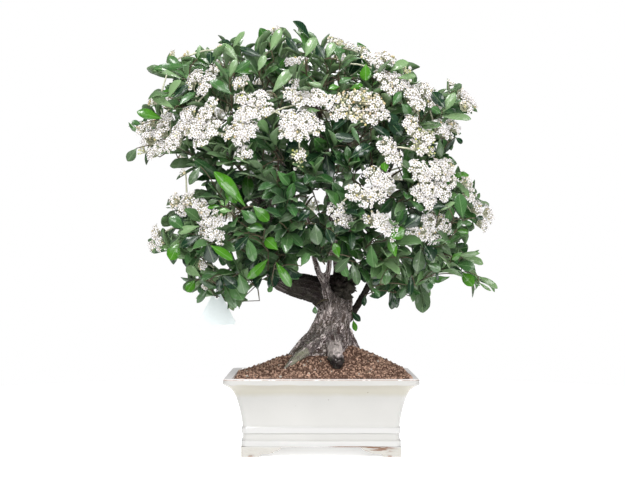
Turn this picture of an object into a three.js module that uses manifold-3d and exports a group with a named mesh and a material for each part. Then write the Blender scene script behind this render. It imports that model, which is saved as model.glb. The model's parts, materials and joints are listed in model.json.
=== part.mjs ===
import * as THREE from "three";
import { ConvexGeometry } from "three/addons/geometries/ConvexGeometry.js";
import { mergeVertices } from "three/addons/utils/BufferGeometryUtils.js";
import Module from "manifold-3d";

// A firethorn bonsai in flower: one old tree with a thick left limb, in a glazed rectangular pot.
// Millimetres, +Z up, the pot's front towards -Y. While it is built, X = Y = 0 is the middle of the pot.

const wasm = await Module();
wasm.setup();

// Driving dimensions
const GAP = 0.3; // air between two pieces that touch
const AIR = 0.5; // least air between two neighbours in the crown
const BLADE_AIR = 0.45; // least air between a leaf and another piece
const OWN_AIR = 0.12; // least air between two leaves of one spray
const SHORTEST = 0.05; // edges shorter than this are closed up where pieces are joined
const MERGING = 0.005; // corners nearer than this count as one
const POT = {
  width: 315, // outside the rim, left to right
  depth: 240, // outside the rim, front to back
  corner: 9,
  underside: 15.5, // height of the body's underside over the table
  floor: 25,
  holeRadius: 11,
  holeX: 62,
  footInset: 28.5, // from the rim's outer edge
  footLength: 66,
  footSideLength: 54,
  footThickness: 13,
  holeDepth: 30,
};
// A foot's lower edge: share of its length and height
const FOOT_EDGE = [[0.45, 0], [0.48, 4.5], [0.78, 6.5], [0.92, 11]];
const SOIL = {
  edge: 122.5, // height at the pot's wall
  rise: 64,
  centreX: 30,
  reachLeft: 190,
  reachRight: 135,
  reachDeep: 108,
  grain: 3.4, // how uneven its top is
  overlap: 12, // how far it reaches under the rim before it is cut to the pot's inside
  stray: 5, // how far the corners of its top lie off their rows
  edgeInset: 16.5, // of its topmost edge, from the rim's outer edge
  columns: 8,
  rows: 7,
};
const LEAF = {
  length: 47,
  width: 18.5,
  widest: 0.6, // where it is widest, as a share of its length
  endWidth: 0.36, // width of its blunt end, as a share of its width
  thickness: 0.8, // at the midrib
  edges: [0.72, 0.66], // thickness at the edges, where it is widest and at its end
  fold: 0.2, // how far the edges rise over the midrib, as a share of the half width
  footWidth: 3.2, // of the stalk where it leaves its shoot
  sizes: [0.84, 1.18], // smallest and largest, as a share of the size above
  widths: [0.9, 1.1],
  arches: [0.02, 0.18], // how far its end bends down, as a share of its length
  tipLeans: [0.55, 0.85], // radians off the shoot's direction, at the shoot's tip
  leans: [0.85, 1.25], // the same farther back
};
const SHOOT = { radius: 2.3, forkRadius: 2.2, sideRadius: 1.5, tipRadius: 1.5, level: 2.6, turn: 0.8 };
// Leaf joints of a main and of a side shoot: millimetres back from the tip, and the leafy sides there
const MAIN_JOINTS = [{ back: 36, sides: [0, 2] }, { back: 5, sides: [0, 1, 3] }];
const SIDE_JOINTS = [{ back: 5, sides: [0, 1, 2, 3] }];
const HEAD = {
  florets: 5.6, // those of the smallest head
  floretsPerMillimetre: 0.33, // more of them for each millimetre of its radius
  spiral: 2.39996, // turn from one floret to the next
  cover: 1.18, // how far down the dome they stand
  flatness: 0.6,
  valley: 0.14,
  foot: 0.5, // how deep its underside reaches, as a share of its radius
  stalk: 1.3,
  shoot: 34, // from the heads back to where their stalks meet
  smallest: 0.6,
};
const SCREEN = { size: 44, thickness: 1.4, slot: 9, pitch: 13 };
const TAG = {
  x: -173, // middle of its hole
  y: -40,
  z: 256,
  width: 62,
  above: 10,
  below: 45,
  topWidth: 9,
  frontDepth: 90, // how far the view of it is kept free of leaves
  thickness: 0.9,
  corner: 5,
  hole: 3,
  string: 0.6,
  knot: 2.2,
  loopHalfWidth: 4.2,
  loopTop: 300.5,
};

// Trunk rings from inside the soil upwards: x, y, z and radius
const TRUNK = [
  [7, 0, 95, 26], [7, 0, 125, 38], [6, 0, 146, 45], [8, 0, 163, 45.5], [10, 0, 176, 41],
  [12, 0, 188, 35.5], [16, 0, 200, 33], [20, 0, 215, 31], [24, 0, 232, 30], [24, 0, 249, 29.5],
  [25, 2, 266, 27], [29, 6, 283, 19],
];

// Surface roots, from the trunk down into the soil: x, y, z and radius
const ROOTS = {
  left: [[-8, 0, 190, 17], [-30, -4, 173, 14], [-47, -8, 156, 10], [-69, -10, 131, 5]],
  left_front: [[-5, -20, 182, 15], [-25, -36, 167, 10], [-43, -46, 154, 8.5], [-61, -54, 136, 4.5]],
  front: [[19, -20, 189, 17], [24, -42, 174, 13], [26, -60, 158, 14], [27, -78, 144, 8]],
  right: [[40, 4, 196, 16], [52, 6, 176, 12], [65, 8, 159, 8], [86, 8, 133, 4]],
  right_back: [[30, 18, 192, 17], [44, 44, 167, 12], [55, 66, 137, 6]],
  left_back: [[2, 18, 189, 17], [-17, 44, 163, 13], [-32, 64, 134, 6]],
};

// Limbs, thick end first: x, y, z and radius
const LIMBS = {
  left_limb: {
    sides: 8,
    steps: 8,
    line: [[26, 4, 246, 25], [-5, 0, 268, 24.5], [-32, -3, 274, 22], [-55, -5, 280, 20.5],
      [-76, -7, 293, 20], [-79, -7, 312, 17], [-66, -4, 339, 14], [-52, 0, 377, 11.5]],
  },
  left_rise: {
    sides: 4,
    steps: 4,
    line: [[-57, -1, 363, 11], [-49, 10, 438, 8], [-76, 15, 511, 6], [-114, 6, 574, 4.6],
      [-151, 0, 621, 3]],
  },
  left_arm: {
    sides: 4,
    steps: 4,
    line: [[-61, -3, 353, 8.5], [-106, -15, 420, 7], [-166, -25, 466, 5.5], [-219, -30, 499, 4.2],
      [-259, -30, 522, 3]],
  },
  left_low: {
    sides: 4,
    steps: 3,
    line: [[-74, -8, 322, 7], [-112, -30, 349, 5.5], [-158, -45, 365, 4.4], [-217, -50, 378, 3]],
  },
  left_skirt: {
    sides: 4,
    steps: 4,
    line: [[-81, -8, 305, 5.5], [-102, -24, 308, 4], [-135, -36, 307, 3], [-180, -40, 295, 2.4]],
  },
  front_left: {
    sides: 4,
    steps: 3,
    line: [[-67, -8, 336, 7], [-74, -60, 381, 5.5], [-82, -110, 420, 4.2], [-103, -140, 465, 3]],
  },
  leader: {
    sides: 6,
    steps: 6,
    line: [[29, 8, 251, 18], [35, 14, 295, 14.5], [30, 14, 346, 12.5], [19, 8, 411, 10.5],
      [12, 0, 482, 8], [2, 0, 553, 6], [-15, 0, 621, 4], [-28, 0, 665, 3]],
  },
  upright_left: {
    sides: 5,
    steps: 5,
    line: [[15, -22, 251, 9], [8, -25, 277, 7.8], [-4, -27, 298, 6.3], [-11, -30, 322, 5.6],
      [-16, -55, 364, 4.6], [-28, -100, 405, 3.4]],
  },
  upright_right: {
    sides: 5,
    steps: 4,
    line: [[7, -25, 275, 6.4], [13, -27, 302, 5.6], [15, -30, 323, 5.2], [28, -60, 364, 4.2],
      [37, -110, 404, 3.2]],
  },
  right_branch: {
    sides: 5,
    steps: 5,
    line: [[47, 12, 218, 8], [60, 12, 237, 6.8], [74, 8, 259, 6.4], [86, 2, 288, 6.6],
      [99, -4, 315, 5.6], [120, -14, 349, 4.8], [149, -30, 382, 3.4]],
  },
  right_low: {
    sides: 4,
    steps: 3,
    line: [[94, -1, 305, 4.4], [133, -16, 322, 3.4], [180, -24, 329, 2.8], [217, -24, 322, 2.4]],
  },
  right_arm: {
    sides: 4,
    steps: 4,
    line: [[28, 12, 357, 9], [74, 2, 397, 7.4], [130, -12, 427, 6], [183, -22, 436, 4.4],
      [227, -24, 433, 3]],
  },
  right_rise: {
    sides: 4,
    steps: 3,
    line: [[12, 0, 475, 7], [60, 4, 533, 5.6], [118, 2, 570, 4.4], [182, -6, 579, 3]],
  },
  crown_front: {
    sides: 4,
    steps: 3,
    line: [[17, 5, 435, 7], [2, -50, 477, 5.6], [-8, -100, 514, 4.2], [-21, -130, 552, 3]],
  },
  front_right: {
    sides: 4,
    steps: 3,
    line: [[26, 10, 374, 7], [51, -50, 411, 5.6], [72, -105, 449, 4.2], [83, -135, 482, 3]],
  },
  back_right: {
    sides: 4,
    steps: 3,
    line: [[30, 16, 336, 8], [66, 60, 386, 6.4], [107, 105, 449, 4.8], [144, 120, 518, 3.2]],
  },
  back_left: {
    sides: 4,
    steps: 3,
    line: [[-59, 0, 353, 8], [-92, 55, 410, 6.4], [-136, 95, 473, 4.8], [-183, 100, 534, 3.2]],
  },
  back_rise: {
    sides: 4,
    steps: 3,
    line: [[18, 8, 418, 7.4], [10, 70, 485, 5.8], [0, 120, 551, 4.4], [-15, 135, 603, 3]],
  },
  back_low: {
    sides: 4,
    steps: 3,
    line: [[33, 18, 316, 6], [20, 75, 344, 4.8], [0, 125, 371, 3.6], [-26, 145, 390, 2.8]],
  },
};

// The knobbly healed cuts over the fork: x, y, z and radius
const BURLS = [[37, -17, 270, 17], [49, -12, 281, 12], [30, -20, 284, 12]];

// Flower heads on each flowering shoot: x, y, z of the middle and radius
const BLOOMS = {
  left_arm: [[-272, -130, 509, 21], [-238, -173, 512, 23]],
  left_tip: [[-278, -51, 585, 14], [-247, -112, 566, 13]],
  left_upper: [[-202, -195, 538, 20], [-175, -214, 513, 23]],
  left_top: [[-184, -171, 597, 20], [-158, -140, 628, 14]],
  centre_left: [[-123, -228, 510, 23], [-119, -224, 477, 14]],
  centre_high: [[-104, -223, 544, 27], [-123, -204, 587, 14]],
  centre: [[-33, -234, 517, 31], [-34, -232, 469, 14]],
  centre_top: [[-43, -229, 558, 19], [-4, -231, 557, 24]],
  top: [[-80, -35, 702, 14], [-38, -167, 628, 15]],
  top_right: [[27, -96, 671, 13], [30, -166, 631, 13]],
  right_high: [[44, -231, 552, 25], [78, -227, 543, 25]],
  right_top: [[92, -141, 637, 23], [107, -212, 589, 22]],
  right_shoulder: [[155, -196, 569, 27], [135, -215, 527, 12]],
  right_tip: [[236, -70, 582, 18], [197, -167, 524, 21]],
  right_inner: [[101, -229, 481, 20], [150, -212, 500, 22]],
  right_middle: [[154, -211, 444, 25], [193, -187, 441, 22], [171, -202, 409, 19]],
  right_edge: [[231, -142, 434, 20], [269, -43, 395, 23]],
  front_right: [[86, -230, 432, 22], [60, -230, 412, 20]],
  front_low: [[29, -221, 386, 19], [74, -217, 378, 13], [101, -210, 366, 20]],
  right_low: [[181, -171, 369, 23], [145, -188, 356, 15]],
  left_low: [[-223, -156, 406, 18], [-192, -194, 399, 14], [-173, -193, 369, 24]],
  left_skirt: [[-268, -77, 352, 19]],
  back_left: [[-197, 188, 585, 26]],
  back_top: [[-19, 211, 615, 27]],
  back_right: [[211, 178, 495, 26], [125, 218, 461, 24]],
};

// Ends of the leafy shoots in each spray: x, y, z
const SPRAYS = {
  far_left: [[-277, -30, 519], [-277, -20, 557]],
  left_high: [[-249, 0, 630], [-222, -60, 595]],
  left_crest: [[-190, -20, 648], [-140, -10, 663]],
  top: [[-45, -10, 680], [-77, -60, 657]],
  top_front: [[-95, -120, 617], [-53, -140, 601]],
  top_right: [[-5, -60, 654], [46, -120, 611]],
  right_crest: [[123, -20, 635], [79, -100, 621]],
  right_tip: [[215, -20, 582], [200, -70, 560]],
  far_right: [[196, -30, 529], [171, -110, 478]],
  front_upper: [[22, -200, 515], [7, -200, 481]],
  front_middle: [[-76, -190, 488], [-54, -205, 432]],
  front_left: [[-156, -150, 443], [-114, -175, 453], [-200, -90, 473]],
  low_left: [[-239, -40, 382], [-229, -60, 346]],
  left_low_inner: [[-140, -160, 401], [-149, -120, 336]],
  skirt_left: [[-147, -55, 278], [-201, -40, 288]],
  skirt_inner: [[-68, -95, 313], [-99, -100, 321]],
  front_low: [[37, -150, 348], [-27, -185, 375], [83, -140, 339]],
  right_front: [[131, -168, 458], [117, -168, 412]],
  right_skirt: [[163, -60, 285], [120, -70, 285]],
  right_edge: [[222, -60, 407], [223, -40, 375]],
  tip_right: [[225, -40, 320], [254, -20, 292]],
  back_left: [[-280, 80, 553], [-222, 100, 620], [-193, 140, 520]],
  back_low_left: [[-228, 90, 391], [-149, 130, 364], [-122, 170, 431], [-63, 160, 357]],
  back_crest_left: [[-150, 100, 652], [-88, 160, 607]],
  back_middle: [[-82, 195, 508], [-37, 195, 426], [-7, 205, 509]],
  back_crest: [[-4, 110, 668], [58, 150, 638]],
  back_right: [[137, 130, 617], [96, 185, 544], [169, 160, 541]],
  back_low_right: [[216, 90, 391], [145, 140, 360], [78, 180, 406], [33, 150, 335]],
};

// Middle of the crown, which leaves and flowers face away from
const CROWN = new THREE.Vector3(-10, 20, 440);
const BACK_DEPTH = 0.16; // where the shoots of a spray fork: this share of the way to the crown's middle

const COLOURS = {
  pot: 0xe9e8e0,
  soil: 0x8a5a41,
  bark: 0x6f5f54,
  leaf: 0x2f6a2c,
  bloom: 0xf4f1ea,
  screen: 0x2b2b2b,
  tag: 0xffffff,
  string: 0x1c2230,
};

function seeded(seed) {
  let state = seed;
  return () => {
    state = (state + 0x6d2b79f5) | 0;
    let t = Math.imul(state ^ (state >>> 15), 1 | state);
    t = (t + Math.imul(t ^ (t >>> 7), 61 | t)) ^ t;
    return ((t ^ (t >>> 14)) >>> 0) / 4294967296;
  };
}

const vector = ([x, y, z]) => new THREE.Vector3(x, y, z);

const withRadius = (point, radius) => [point.x, point.y, point.z, radius];

const middleOf = (points) =>
  points.reduce((sum, point) => sum.add(point), new THREE.Vector3()).divideScalar(points.length);

// Solids and their geometry

function fromFaces(points, faces) {
  const geometry = new THREE.BufferGeometry();
  const positions = points.flatMap((p) => [p.x, p.y, p.z]);
  geometry.setAttribute("position", new THREE.Float32BufferAttribute(positions, 3));
  geometry.setIndex(faces.flat());
  return geometry;
}

function signedVolume(positions, index) {
  const [a, b, c] = [new THREE.Vector3(), new THREE.Vector3(), new THREE.Vector3()];
  let volume = 0;
  for (let i = 0; i < index.length; i += 3) {
    a.fromArray(positions, index[i] * 3);
    b.fromArray(positions, index[i + 1] * 3);
    c.fromArray(positions, index[i + 2] * 3);
    volume += a.dot(b.cross(c)) / 6;
  }
  return volume;
}

// A closed geometry as a solid with its faces pointing out
function solidOf(geometry) {
  const bare = geometry.clone();
  bare.deleteAttribute("normal");
  bare.deleteAttribute("uv");
  const merged = mergeVertices(bare, 1e-4);
  const positions = merged.attributes.position.array;
  const triVerts = new Uint32Array(merged.index.array);
  if (signedVolume(positions, triVerts) < 0) triVerts.reverse();
  return new wasm.Manifold(new wasm.Mesh({ numProp: 3, vertProperties: positions, triVerts }));
}

// The skin of a solid as points and faces, with the edges too short to keep drawn together
function cleanSkin(solid) {
  const { numVert, numTri, vertProperties, triVerts } = solid.getMesh();
  const pointAt = (_, i) => new THREE.Vector3().fromArray(vertProperties, i * 3);
  const points = Array.from({ length: numVert }, pointAt);
  const faces = Array.from({ length: numTri }, (_, i) => [...triVerts.subarray(i * 3, i * 3 + 3)]);
  const around = points.map(() => new Set());
  faces.forEach((face, f) => face.forEach((v) => around[v].add(f)));
  const neighbours = (v) => new Set([...around[v]].flatMap((f) => faces[f]).filter((w) => w !== v));
  const short = (a, b) => a !== b && points[a].distanceTo(points[b]) < SHORTEST;
  for (let f = 0; f < faces.length; f++) {
    if (!faces[f]) continue;
    const edge = [0, 1, 2].map((k) => [faces[f][k], faces[f][(k + 1) % 3]]).find(([a, b]) => short(a, b));
    if (!edge) continue;
    const [keep, gone] = edge;
    const beside = neighbours(gone);
    if ([...neighbours(keep)].filter((v) => beside.has(v)).length !== 2) continue;
    for (const g of around[gone]) {
      if (faces[g].includes(keep)) {
        faces[g].forEach((v) => v !== gone && around[v].delete(g));
        faces[g] = null;
      } else {
        faces[g] = faces[g].map((v) => (v === gone ? keep : v));
        around[keep].add(g);
      }
    }
    around[gone].clear();
    f = -1;
  }
  const used = points.filter((_, v) => around[v].size > 0);
  return { points, faces: faces.filter((face) => face), used };
}

// Whether no two corners of a skin lie so near each other that they would merge
function isSound({ used }) {
  const sorted = [...used].sort((a, b) => a.x - b.x);
  return sorted.every((a, i) => {
    for (let k = i + 1; k < sorted.length && sorted[k].x - a.x < MERGING; k++) {
      if (a.distanceTo(sorted[k]) < MERGING) return false;
    }
    return true;
  });
}

const join = (solids) => solids.reduce((whole, solid) => whole.add(solid));

const crosses = (a, b) => a.intersect(b).getMesh().triVerts.length > 0;

// A closed skin over rings of equal point count, with a cap at each end
function skin(rings) {
  const n = rings[0].length;
  const faces = [];
  for (let r = 0; r + 1 < rings.length; r++) {
    for (let i = 0; i < n; i++) {
      const a = r * n + i;
      const b = r * n + ((i + 1) % n);
      faces.push([a, b, b + n], [a, b + n, a + n]);
    }
  }
  const last = (rings.length - 1) * n;
  for (let i = 1; i + 1 < n; i++) faces.push([0, i + 1, i], [last, last + i, last + i + 1]);
  return fromFaces(rings.flat(), faces);
}

const tubeSolid = (rings) => solidOf(skin(rings));

// A branch that tapers along a smooth line, given as [x, y, z, radius] points
function branch(line, { sides, steps, extra = 0, flute = 0, turn = 0 }) {
  const curve = new THREE.CatmullRomCurve3(line.map(vector), false, "centripetal");
  const frames = curve.computeFrenetFrames(steps, false);
  const rings = [];
  for (let s = 0; s <= steps; s++) {
    const along = (s / steps) * (line.length - 1);
    const k = Math.min(line.length - 2, Math.floor(along));
    const radius = THREE.MathUtils.lerp(line[k][3], line[k + 1][3], along - k);
    const middle = curve.getPoint(s / steps);
    rings.push(Array.from({ length: sides }, (_, i) => {
      const angle = (2 * Math.PI * i) / sides + turn;
      const out = radius * (1 + flute * Math.sin(3 * i + 1.7 * s)) + extra;
      return middle.clone()
        .addScaledVector(frames.normals[s], Math.cos(angle) * out)
        .addScaledVector(frames.binormals[s], Math.sin(angle) * out);
    }));
  }
  return tubeSolid(rings);
}

// The pot: rounded rectangles stacked up the outside, over the rim and down the inside

function roundedRing(halfWidth, halfDepth, corner, z) {
  const points = [];
  for (let c = 0; c < 4; c++) {
    const signX = c === 0 || c === 3 ? 1 : -1;
    const signY = c < 2 ? 1 : -1;
    for (let k = 0; k <= 2; k++) {
      const turn = (Math.PI / 2) * (c + k / 2);
      points.push(new THREE.Vector3(
        signX * (halfWidth - corner) + Math.cos(turn) * corner,
        signY * (halfDepth - corner) + Math.sin(turn) * corner,
        z,
      ));
    }
  }
  return points;
}

// Inset from the rim's outer edge, and height
const OUTSIDE = [
  [29.5, POT.underside], [28.3, 17.5], [28.3, 25.5],
  [30.8, 28], [30.8, 36.5],
  [28.8, 39.5], [28.8, 46], [30.2, 49.5],
  [27, 71], [20.8, 95], [14.2, 108], [5, 115.5],
  [0, 118.5], [0, 125.5], [1.5, 127],
];
const INSIDE = [[13, 127], [16, 124], [20, 112], [34, 88], [41, POT.floor]];

const ringAt = ([inset, z], grow = 0) =>
  roundedRing(POT.width / 2 - inset - grow, POT.depth / 2 - inset - grow, POT.corner, z);

// A plate with the cloud-shaped lower edge of a foot, standing along X from a corner of the pot
function footPlate(length) {
  const outline = new THREE.Shape();
  outline.moveTo(0, 0);
  for (const [share, z] of FOOT_EDGE) outline.lineTo(share * length, z);
  outline.lineTo(length, POT.underside + 1);
  outline.lineTo(0, POT.underside + 1);
  const plate = new THREE.ExtrudeGeometry(outline, { depth: POT.footThickness, bevelEnabled: false });
  return plate.rotateX(Math.PI / 2);
}

function footSolid(signX, signY) {
  const front = footPlate(POT.footLength).translate(0, POT.footThickness, 0);
  const side = footPlate(POT.footSideLength).rotateZ(Math.PI / 2);
  const plates = [front, side].map((plate) => {
    plate.translate(POT.footInset - POT.width / 2, POT.footInset - POT.depth / 2, 0);
    return solidOf(plate.scale(-signX, -signY, 1));
  });
  return join(plates);
}

function potSolid() {
  const body = solidOf(skin([...OUTSIDE, ...INSIDE].map((station) => ringAt(station))));
  const feet = [[-1, -1], [1, -1], [-1, 1], [1, 1]].map(([x, y]) => footSolid(x, y));
  const holes = [-1, 1].map((side) => {
    const hole = new THREE.CylinderGeometry(POT.holeRadius, POT.holeRadius, POT.holeDepth, 10);
    return solidOf(hole.rotateX(Math.PI / 2).translate(side * POT.holeX, 0, POT.floor));
  });
  return join([body, ...feet]).subtract(join(holes));
}

// A square plastic plate over a drain hole, and the screen that is cut from it by slots
function plateSolid(side, grow = 0) {
  const size = SCREEN.size + 2 * grow;
  const plate = new THREE.BoxGeometry(size, size, SCREEN.thickness + 2 * grow);
  return solidOf(plate.translate(side * POT.holeX, 0, POT.floor + GAP + SCREEN.thickness / 2));
}

function screenSolid(side) {
  const slots = [-1, 0, 1].map((k) => {
    const slot = new THREE.BoxGeometry(SCREEN.slot, SCREEN.size - 10, 4 * SCREEN.thickness);
    return solidOf(slot.translate(side * POT.holeX + k * SCREEN.pitch, 0, POT.floor + GAP));
  });
  return plateSolid(side).subtract(join(slots));
}

// The soil: fills the pot to just under the rim and rises in a mound to the trunk, with a grainy top

function soilHeight(x, y) {
  const across = (x - SOIL.centreX) / (x < SOIL.centreX ? SOIL.reachLeft : SOIL.reachRight);
  const away = Math.hypot(across, y / SOIL.reachDeep);
  return SOIL.edge + SOIL.rise * Math.max(0, 1 - away);
}

// A block whose upper side is the soil's surface, wider and deeper than the pot's inside
function soilGround() {
  const random = seeded(11);
  const { columns, rows } = SOIL;
  const [halfX, halfY] = [POT.width / 2 - SOIL.overlap, POT.depth / 2 - SOIL.overlap];
  const stray = () => random() - 0.5;
  const points = [];
  for (let j = 0; j <= rows; j++) {
    for (let i = 0; i <= columns; i++) {
      const x = -halfX + (2 * halfX * i) / columns + stray() * SOIL.stray;
      const y = -halfY + (2 * halfY * j) / rows + stray() * SOIL.stray;
      points.push(new THREE.Vector3(x, y, soilHeight(x, y) + stray() * SOIL.grain));
    }
  }
  const at = (i, j) => j * (columns + 1) + i;
  const faces = [];
  for (let j = 0; j < rows; j++) {
    for (let i = 0; i < columns; i++) {
      faces.push([at(i, j), at(i + 1, j), at(i + 1, j + 1)]);
      faces.push([at(i, j), at(i + 1, j + 1), at(i, j + 1)]);
    }
  }
  const border = [];
  for (let i = 0; i < columns; i++) border.push(at(i, 0));
  for (let j = 0; j < rows; j++) border.push(at(columns, j));
  for (let i = columns; i > 0; i--) border.push(at(i, rows));
  for (let j = rows; j > 0; j--) border.push(at(0, j));
  const first = points.length;
  for (const index of border) points.push(points[index].clone().setZ(0));
  const middle = points.push(new THREE.Vector3(0, 0, 0)) - 1;
  border.forEach((index, k) => {
    const next = (k + 1) % border.length;
    faces.push([index, first + k, first + next], [index, first + next, border[next]]);
    faces.push([first + next, first + k, middle]);
  });
  return solidOf(fromFaces(points, faces));
}

function soilSolid(hollows) {
  const above = SOIL.edge + SOIL.rise;
  const sides = [[SOIL.edgeInset, above], [SOIL.edgeInset, INSIDE[1][1]], ...INSIDE.slice(2)];
  const stations = sides.reverse();
  const fill = stations.map(([inset, z], i) => ringAt([inset, i === 0 ? z + GAP : z], GAP));
  return tubeSolid(fill).intersect(soilGround()).subtract(hollows);
}

// One leaf: a thin arched blade, widest past its middle, folded along its midrib and blunt at its end.
// Gives its corners from the widest station to the end, at each place the upper face's first.
function leafCorners({ base, along, face, length, width, arch }, extra = 0) {
  const right = new THREE.Vector3().crossVectors(face, along).normalize();
  const up = new THREE.Vector3().crossVectors(along, right).normalize();
  const stations = [
    { share: LEAF.widest, spread: [-1, 0, 1], half: width / 2 },
    { share: 1 + extra / length, spread: [-1, 1], half: (width / 2) * LEAF.endWidth },
  ];
  return stations.flatMap(({ share, spread, half }, s) => {
    const middle = base.clone().addScaledVector(along, share * length);
    middle.addScaledVector(up, -arch * length * share * share);
    return spread.flatMap((out) => {
      const thick = (out === 0 ? LEAF.thickness : LEAF.edges[s]) / 2 + extra;
      const point = middle.clone().addScaledVector(right, out * (half + extra));
      point.addScaledVector(up, Math.abs(out) * half * LEAF.fold);
      return [point.clone().addScaledVector(up, thick), point.clone().addScaledVector(up, -thick)];
    });
  });
}

// Faces of a leaf whose corners start at "first", standing on four corners of its shoot:
// lower left, lower right, upper right, upper left
function leafFaces(first, [bl, br, tr, tl]) {
  const [l1, L1, m1, M1, r1, R1, l2, L2, r2, R2] = Array.from({ length: 10 }, (_, i) => first + i);
  return [
    [tl, l1, m1], [tl, m1, tr], [tr, m1, r1], [bl, M1, L1], [bl, br, M1], [br, R1, M1],
    [bl, L1, l1], [bl, l1, tl], [br, r1, R1], [br, tr, r1],
    [l1, l2, m1], [m1, l2, r2], [m1, r2, r1], [L1, M1, L2], [M1, R2, L2], [M1, R1, R2],
    [L1, L2, l2], [L1, l2, l1], [R1, r2, R2], [R1, r1, r2], [l2, L2, R2], [l2, R2, r2],
  ];
}

// A leaf's blade by itself, starting a little out from its shoot
function bladeSolid(leaf, extra) {
  const right = new THREE.Vector3().crossVectors(leaf.face, leaf.along).normalize();
  const up = new THREE.Vector3().crossVectors(leaf.along, right).normalize();
  const root = leaf.base.clone().addScaledVector(leaf.along, SHOOT.radius + 2);
  const half = LEAF.thickness / 2 + extra;
  const start = [[-1, -1], [1, -1], [1, 1], [-1, 1]].map(([x, y]) =>
    root.clone().addScaledVector(right, x * (LEAF.footWidth / 2 + extra)).addScaledVector(up, y * half));
  const faces = [...leafFaces(4, [0, 1, 2, 3]), [0, 2, 1], [0, 3, 2]];
  return solidOf(fromFaces([...start, ...leafCorners(leaf, extra)], faces));
}

// One flower head: florets stand out all over a flat dome, with hollows between them
function headSolid([x, y, z, radius], axis, random, extra = 0) {
  const middle = new THREE.Vector3(x, y, z);
  const turn = new THREE.Quaternion().setFromUnitVectors(new THREE.Vector3(0, 0, 1), axis);
  const count = Math.round(HEAD.florets + radius * HEAD.floretsPerMillimetre);
  const size = radius + extra;
  const foot = new THREE.Vector3(0, 0, -HEAD.foot * size);
  const points = [foot];
  for (let i = 0; i < count; i++) {
    const rise = 1 - (HEAD.cover * (i + 0.5)) / count;
    const out = Math.sqrt(1 - rise * rise);
    const angle = i * HEAD.spiral + random() * 0.25;
    const reach = size * (0.97 + 0.03 * random());
    const spot = new THREE.Vector3(Math.cos(angle) * out, Math.sin(angle) * out, rise * HEAD.flatness);
    points.push(spot.multiplyScalar(reach));
  }
  const hull = mergeVertices(new ConvexGeometry(points).deleteAttribute("normal"), 1e-4);
  const spots = [];
  for (let i = 0; i < hull.attributes.position.count; i++) {
    spots.push(new THREE.Vector3().fromBufferAttribute(hull.attributes.position, i));
  }
  const corners = [...spots];
  const faces = [];
  for (let i = 0; i < hull.index.count; i += 3) {
    const [a, b, c] = [0, 1, 2].map((k) => hull.index.getX(i + k));
    const meetsFoot = [a, b, c].some((k) => spots[k].distanceTo(foot) < 0.01);
    if (meetsFoot || extra > 0) {
      faces.push([a, b, c]);
    } else {
      const valley = spots[a].clone().add(spots[b]).add(spots[c]).divideScalar(3);
      valley.addScaledVector(valley.clone().normalize(), -HEAD.valley * size);
      const d = corners.push(valley) - 1;
      faces.push([a, b, d], [b, c, d], [c, a, d]);
    }
  }
  corners.forEach((corner) => corner.applyQuaternion(turn).add(middle));
  return solidOf(fromFaces(corners, faces));
}

// The tree: trunk, roots, burls and limbs grown as one piece

// A root's line with its end a little farther on
function lengthened(line, by) {
  const [before, end] = line.slice(-2).map(vector);
  const tip = end.clone().addScaledVector(end.clone().sub(before).normalize(), by);
  return [...line.slice(0, -1), withRadius(tip, line.at(-1)[3])];
}

function trunkSolids(extra) {
  const roots = Object.values(ROOTS).map((line) => lengthened(line, extra));
  return [
    branch(TRUNK, { sides: 10, steps: 10, flute: 0.045, extra }),
    ...roots.map((line) => branch(line, { sides: 5, steps: 3, flute: 0.06, extra })),
  ];
}

function burlSolid([x, y, z, radius]) {
  return solidOf(new THREE.IcosahedronGeometry(radius, 0).rotateX(x).rotateY(y).translate(x, y, z));
}

const limbs = Object.entries(LIMBS).map(([name, { line, sides, steps }]) => ({
  name,
  curve: new THREE.CatmullRomCurve3(line.map(vector), false, "centripetal"),
  line,
  solid: branch(line, { sides, steps, flute: sides > 6 ? 0.05 : 0 }),
}));

// Everything placed so far, one solid per node, to keep the next piece clear of
const placed = [];
const isClear = (solid, own = null) =>
  placed.every((other) => other === own || !crosses(other.solid, solid));
const tree = {
  name: "tree",
  solid: join([...trunkSolids(0), ...BURLS.map(burlSolid), ...limbs.map((limb) => limb.solid)]),
};
placed.push(tree);

// Limb points that a shoot could grow from, nearest to a place first, well below the limb's tip
function growPoints(target) {
  const points = [];
  for (const { curve, line } of limbs) {
    for (let t = 0.3; t <= 1; t += 0.1) {
      const point = curve.getPoint(t);
      const radius = line[Math.min(line.length - 1, Math.round(t * (line.length - 1)))][3];
      if (radius >= 15) continue;
      const climb = Math.max(0, point.z - target.z);
      points.push({ point, radius, cost: point.distanceTo(target) + radius * 3 + climb * 0.4 });
    }
  }
  return points.sort((a, b) => a.cost - b.cost);
}

// Where a shoot towards a place leaves the tree: its first two points, the first GAP off a limb's bark
function growShoot(target, random, tries = 40) {
  const starts = growPoints(target);
  for (let n = 0; n < tries; n++) {
    const { point, radius } = starts[Math.min(starts.length - 1, Math.floor(n / 3))];
    const reach = target.clone().sub(point);
    const stray = new THREE.Vector3(random() - 0.5, random() - 0.5, random() - 0.5).multiplyScalar(0.5);
    const away = reach.clone().normalize().add(stray).normalize();
    const onLine = (distance) => withRadius(point.clone().addScaledVector(away, distance), SHOOT.radius);
    const stub = (from) => [onLine(from), onLine(from + 7)];
    for (let off = radius * 0.6; off < radius + 9; off += GAP) {
      if (crosses(tree.solid, branch(stub(off - GAP), { sides: 4, steps: 1, extra: GAP }))) continue;
      const line = stub(off);
      if (off < radius * 0.6 + GAP) break;
      if (!isClear(branch(line, { sides: 4, steps: 1, extra: AIR }), tree)) break;
      return { first: vector(line[0]), second: vector(line[1]) };
    }
  }
  return null;
}

const nodes = [];

// The hanging tag and the string that ties it to the lowest left twig

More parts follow.
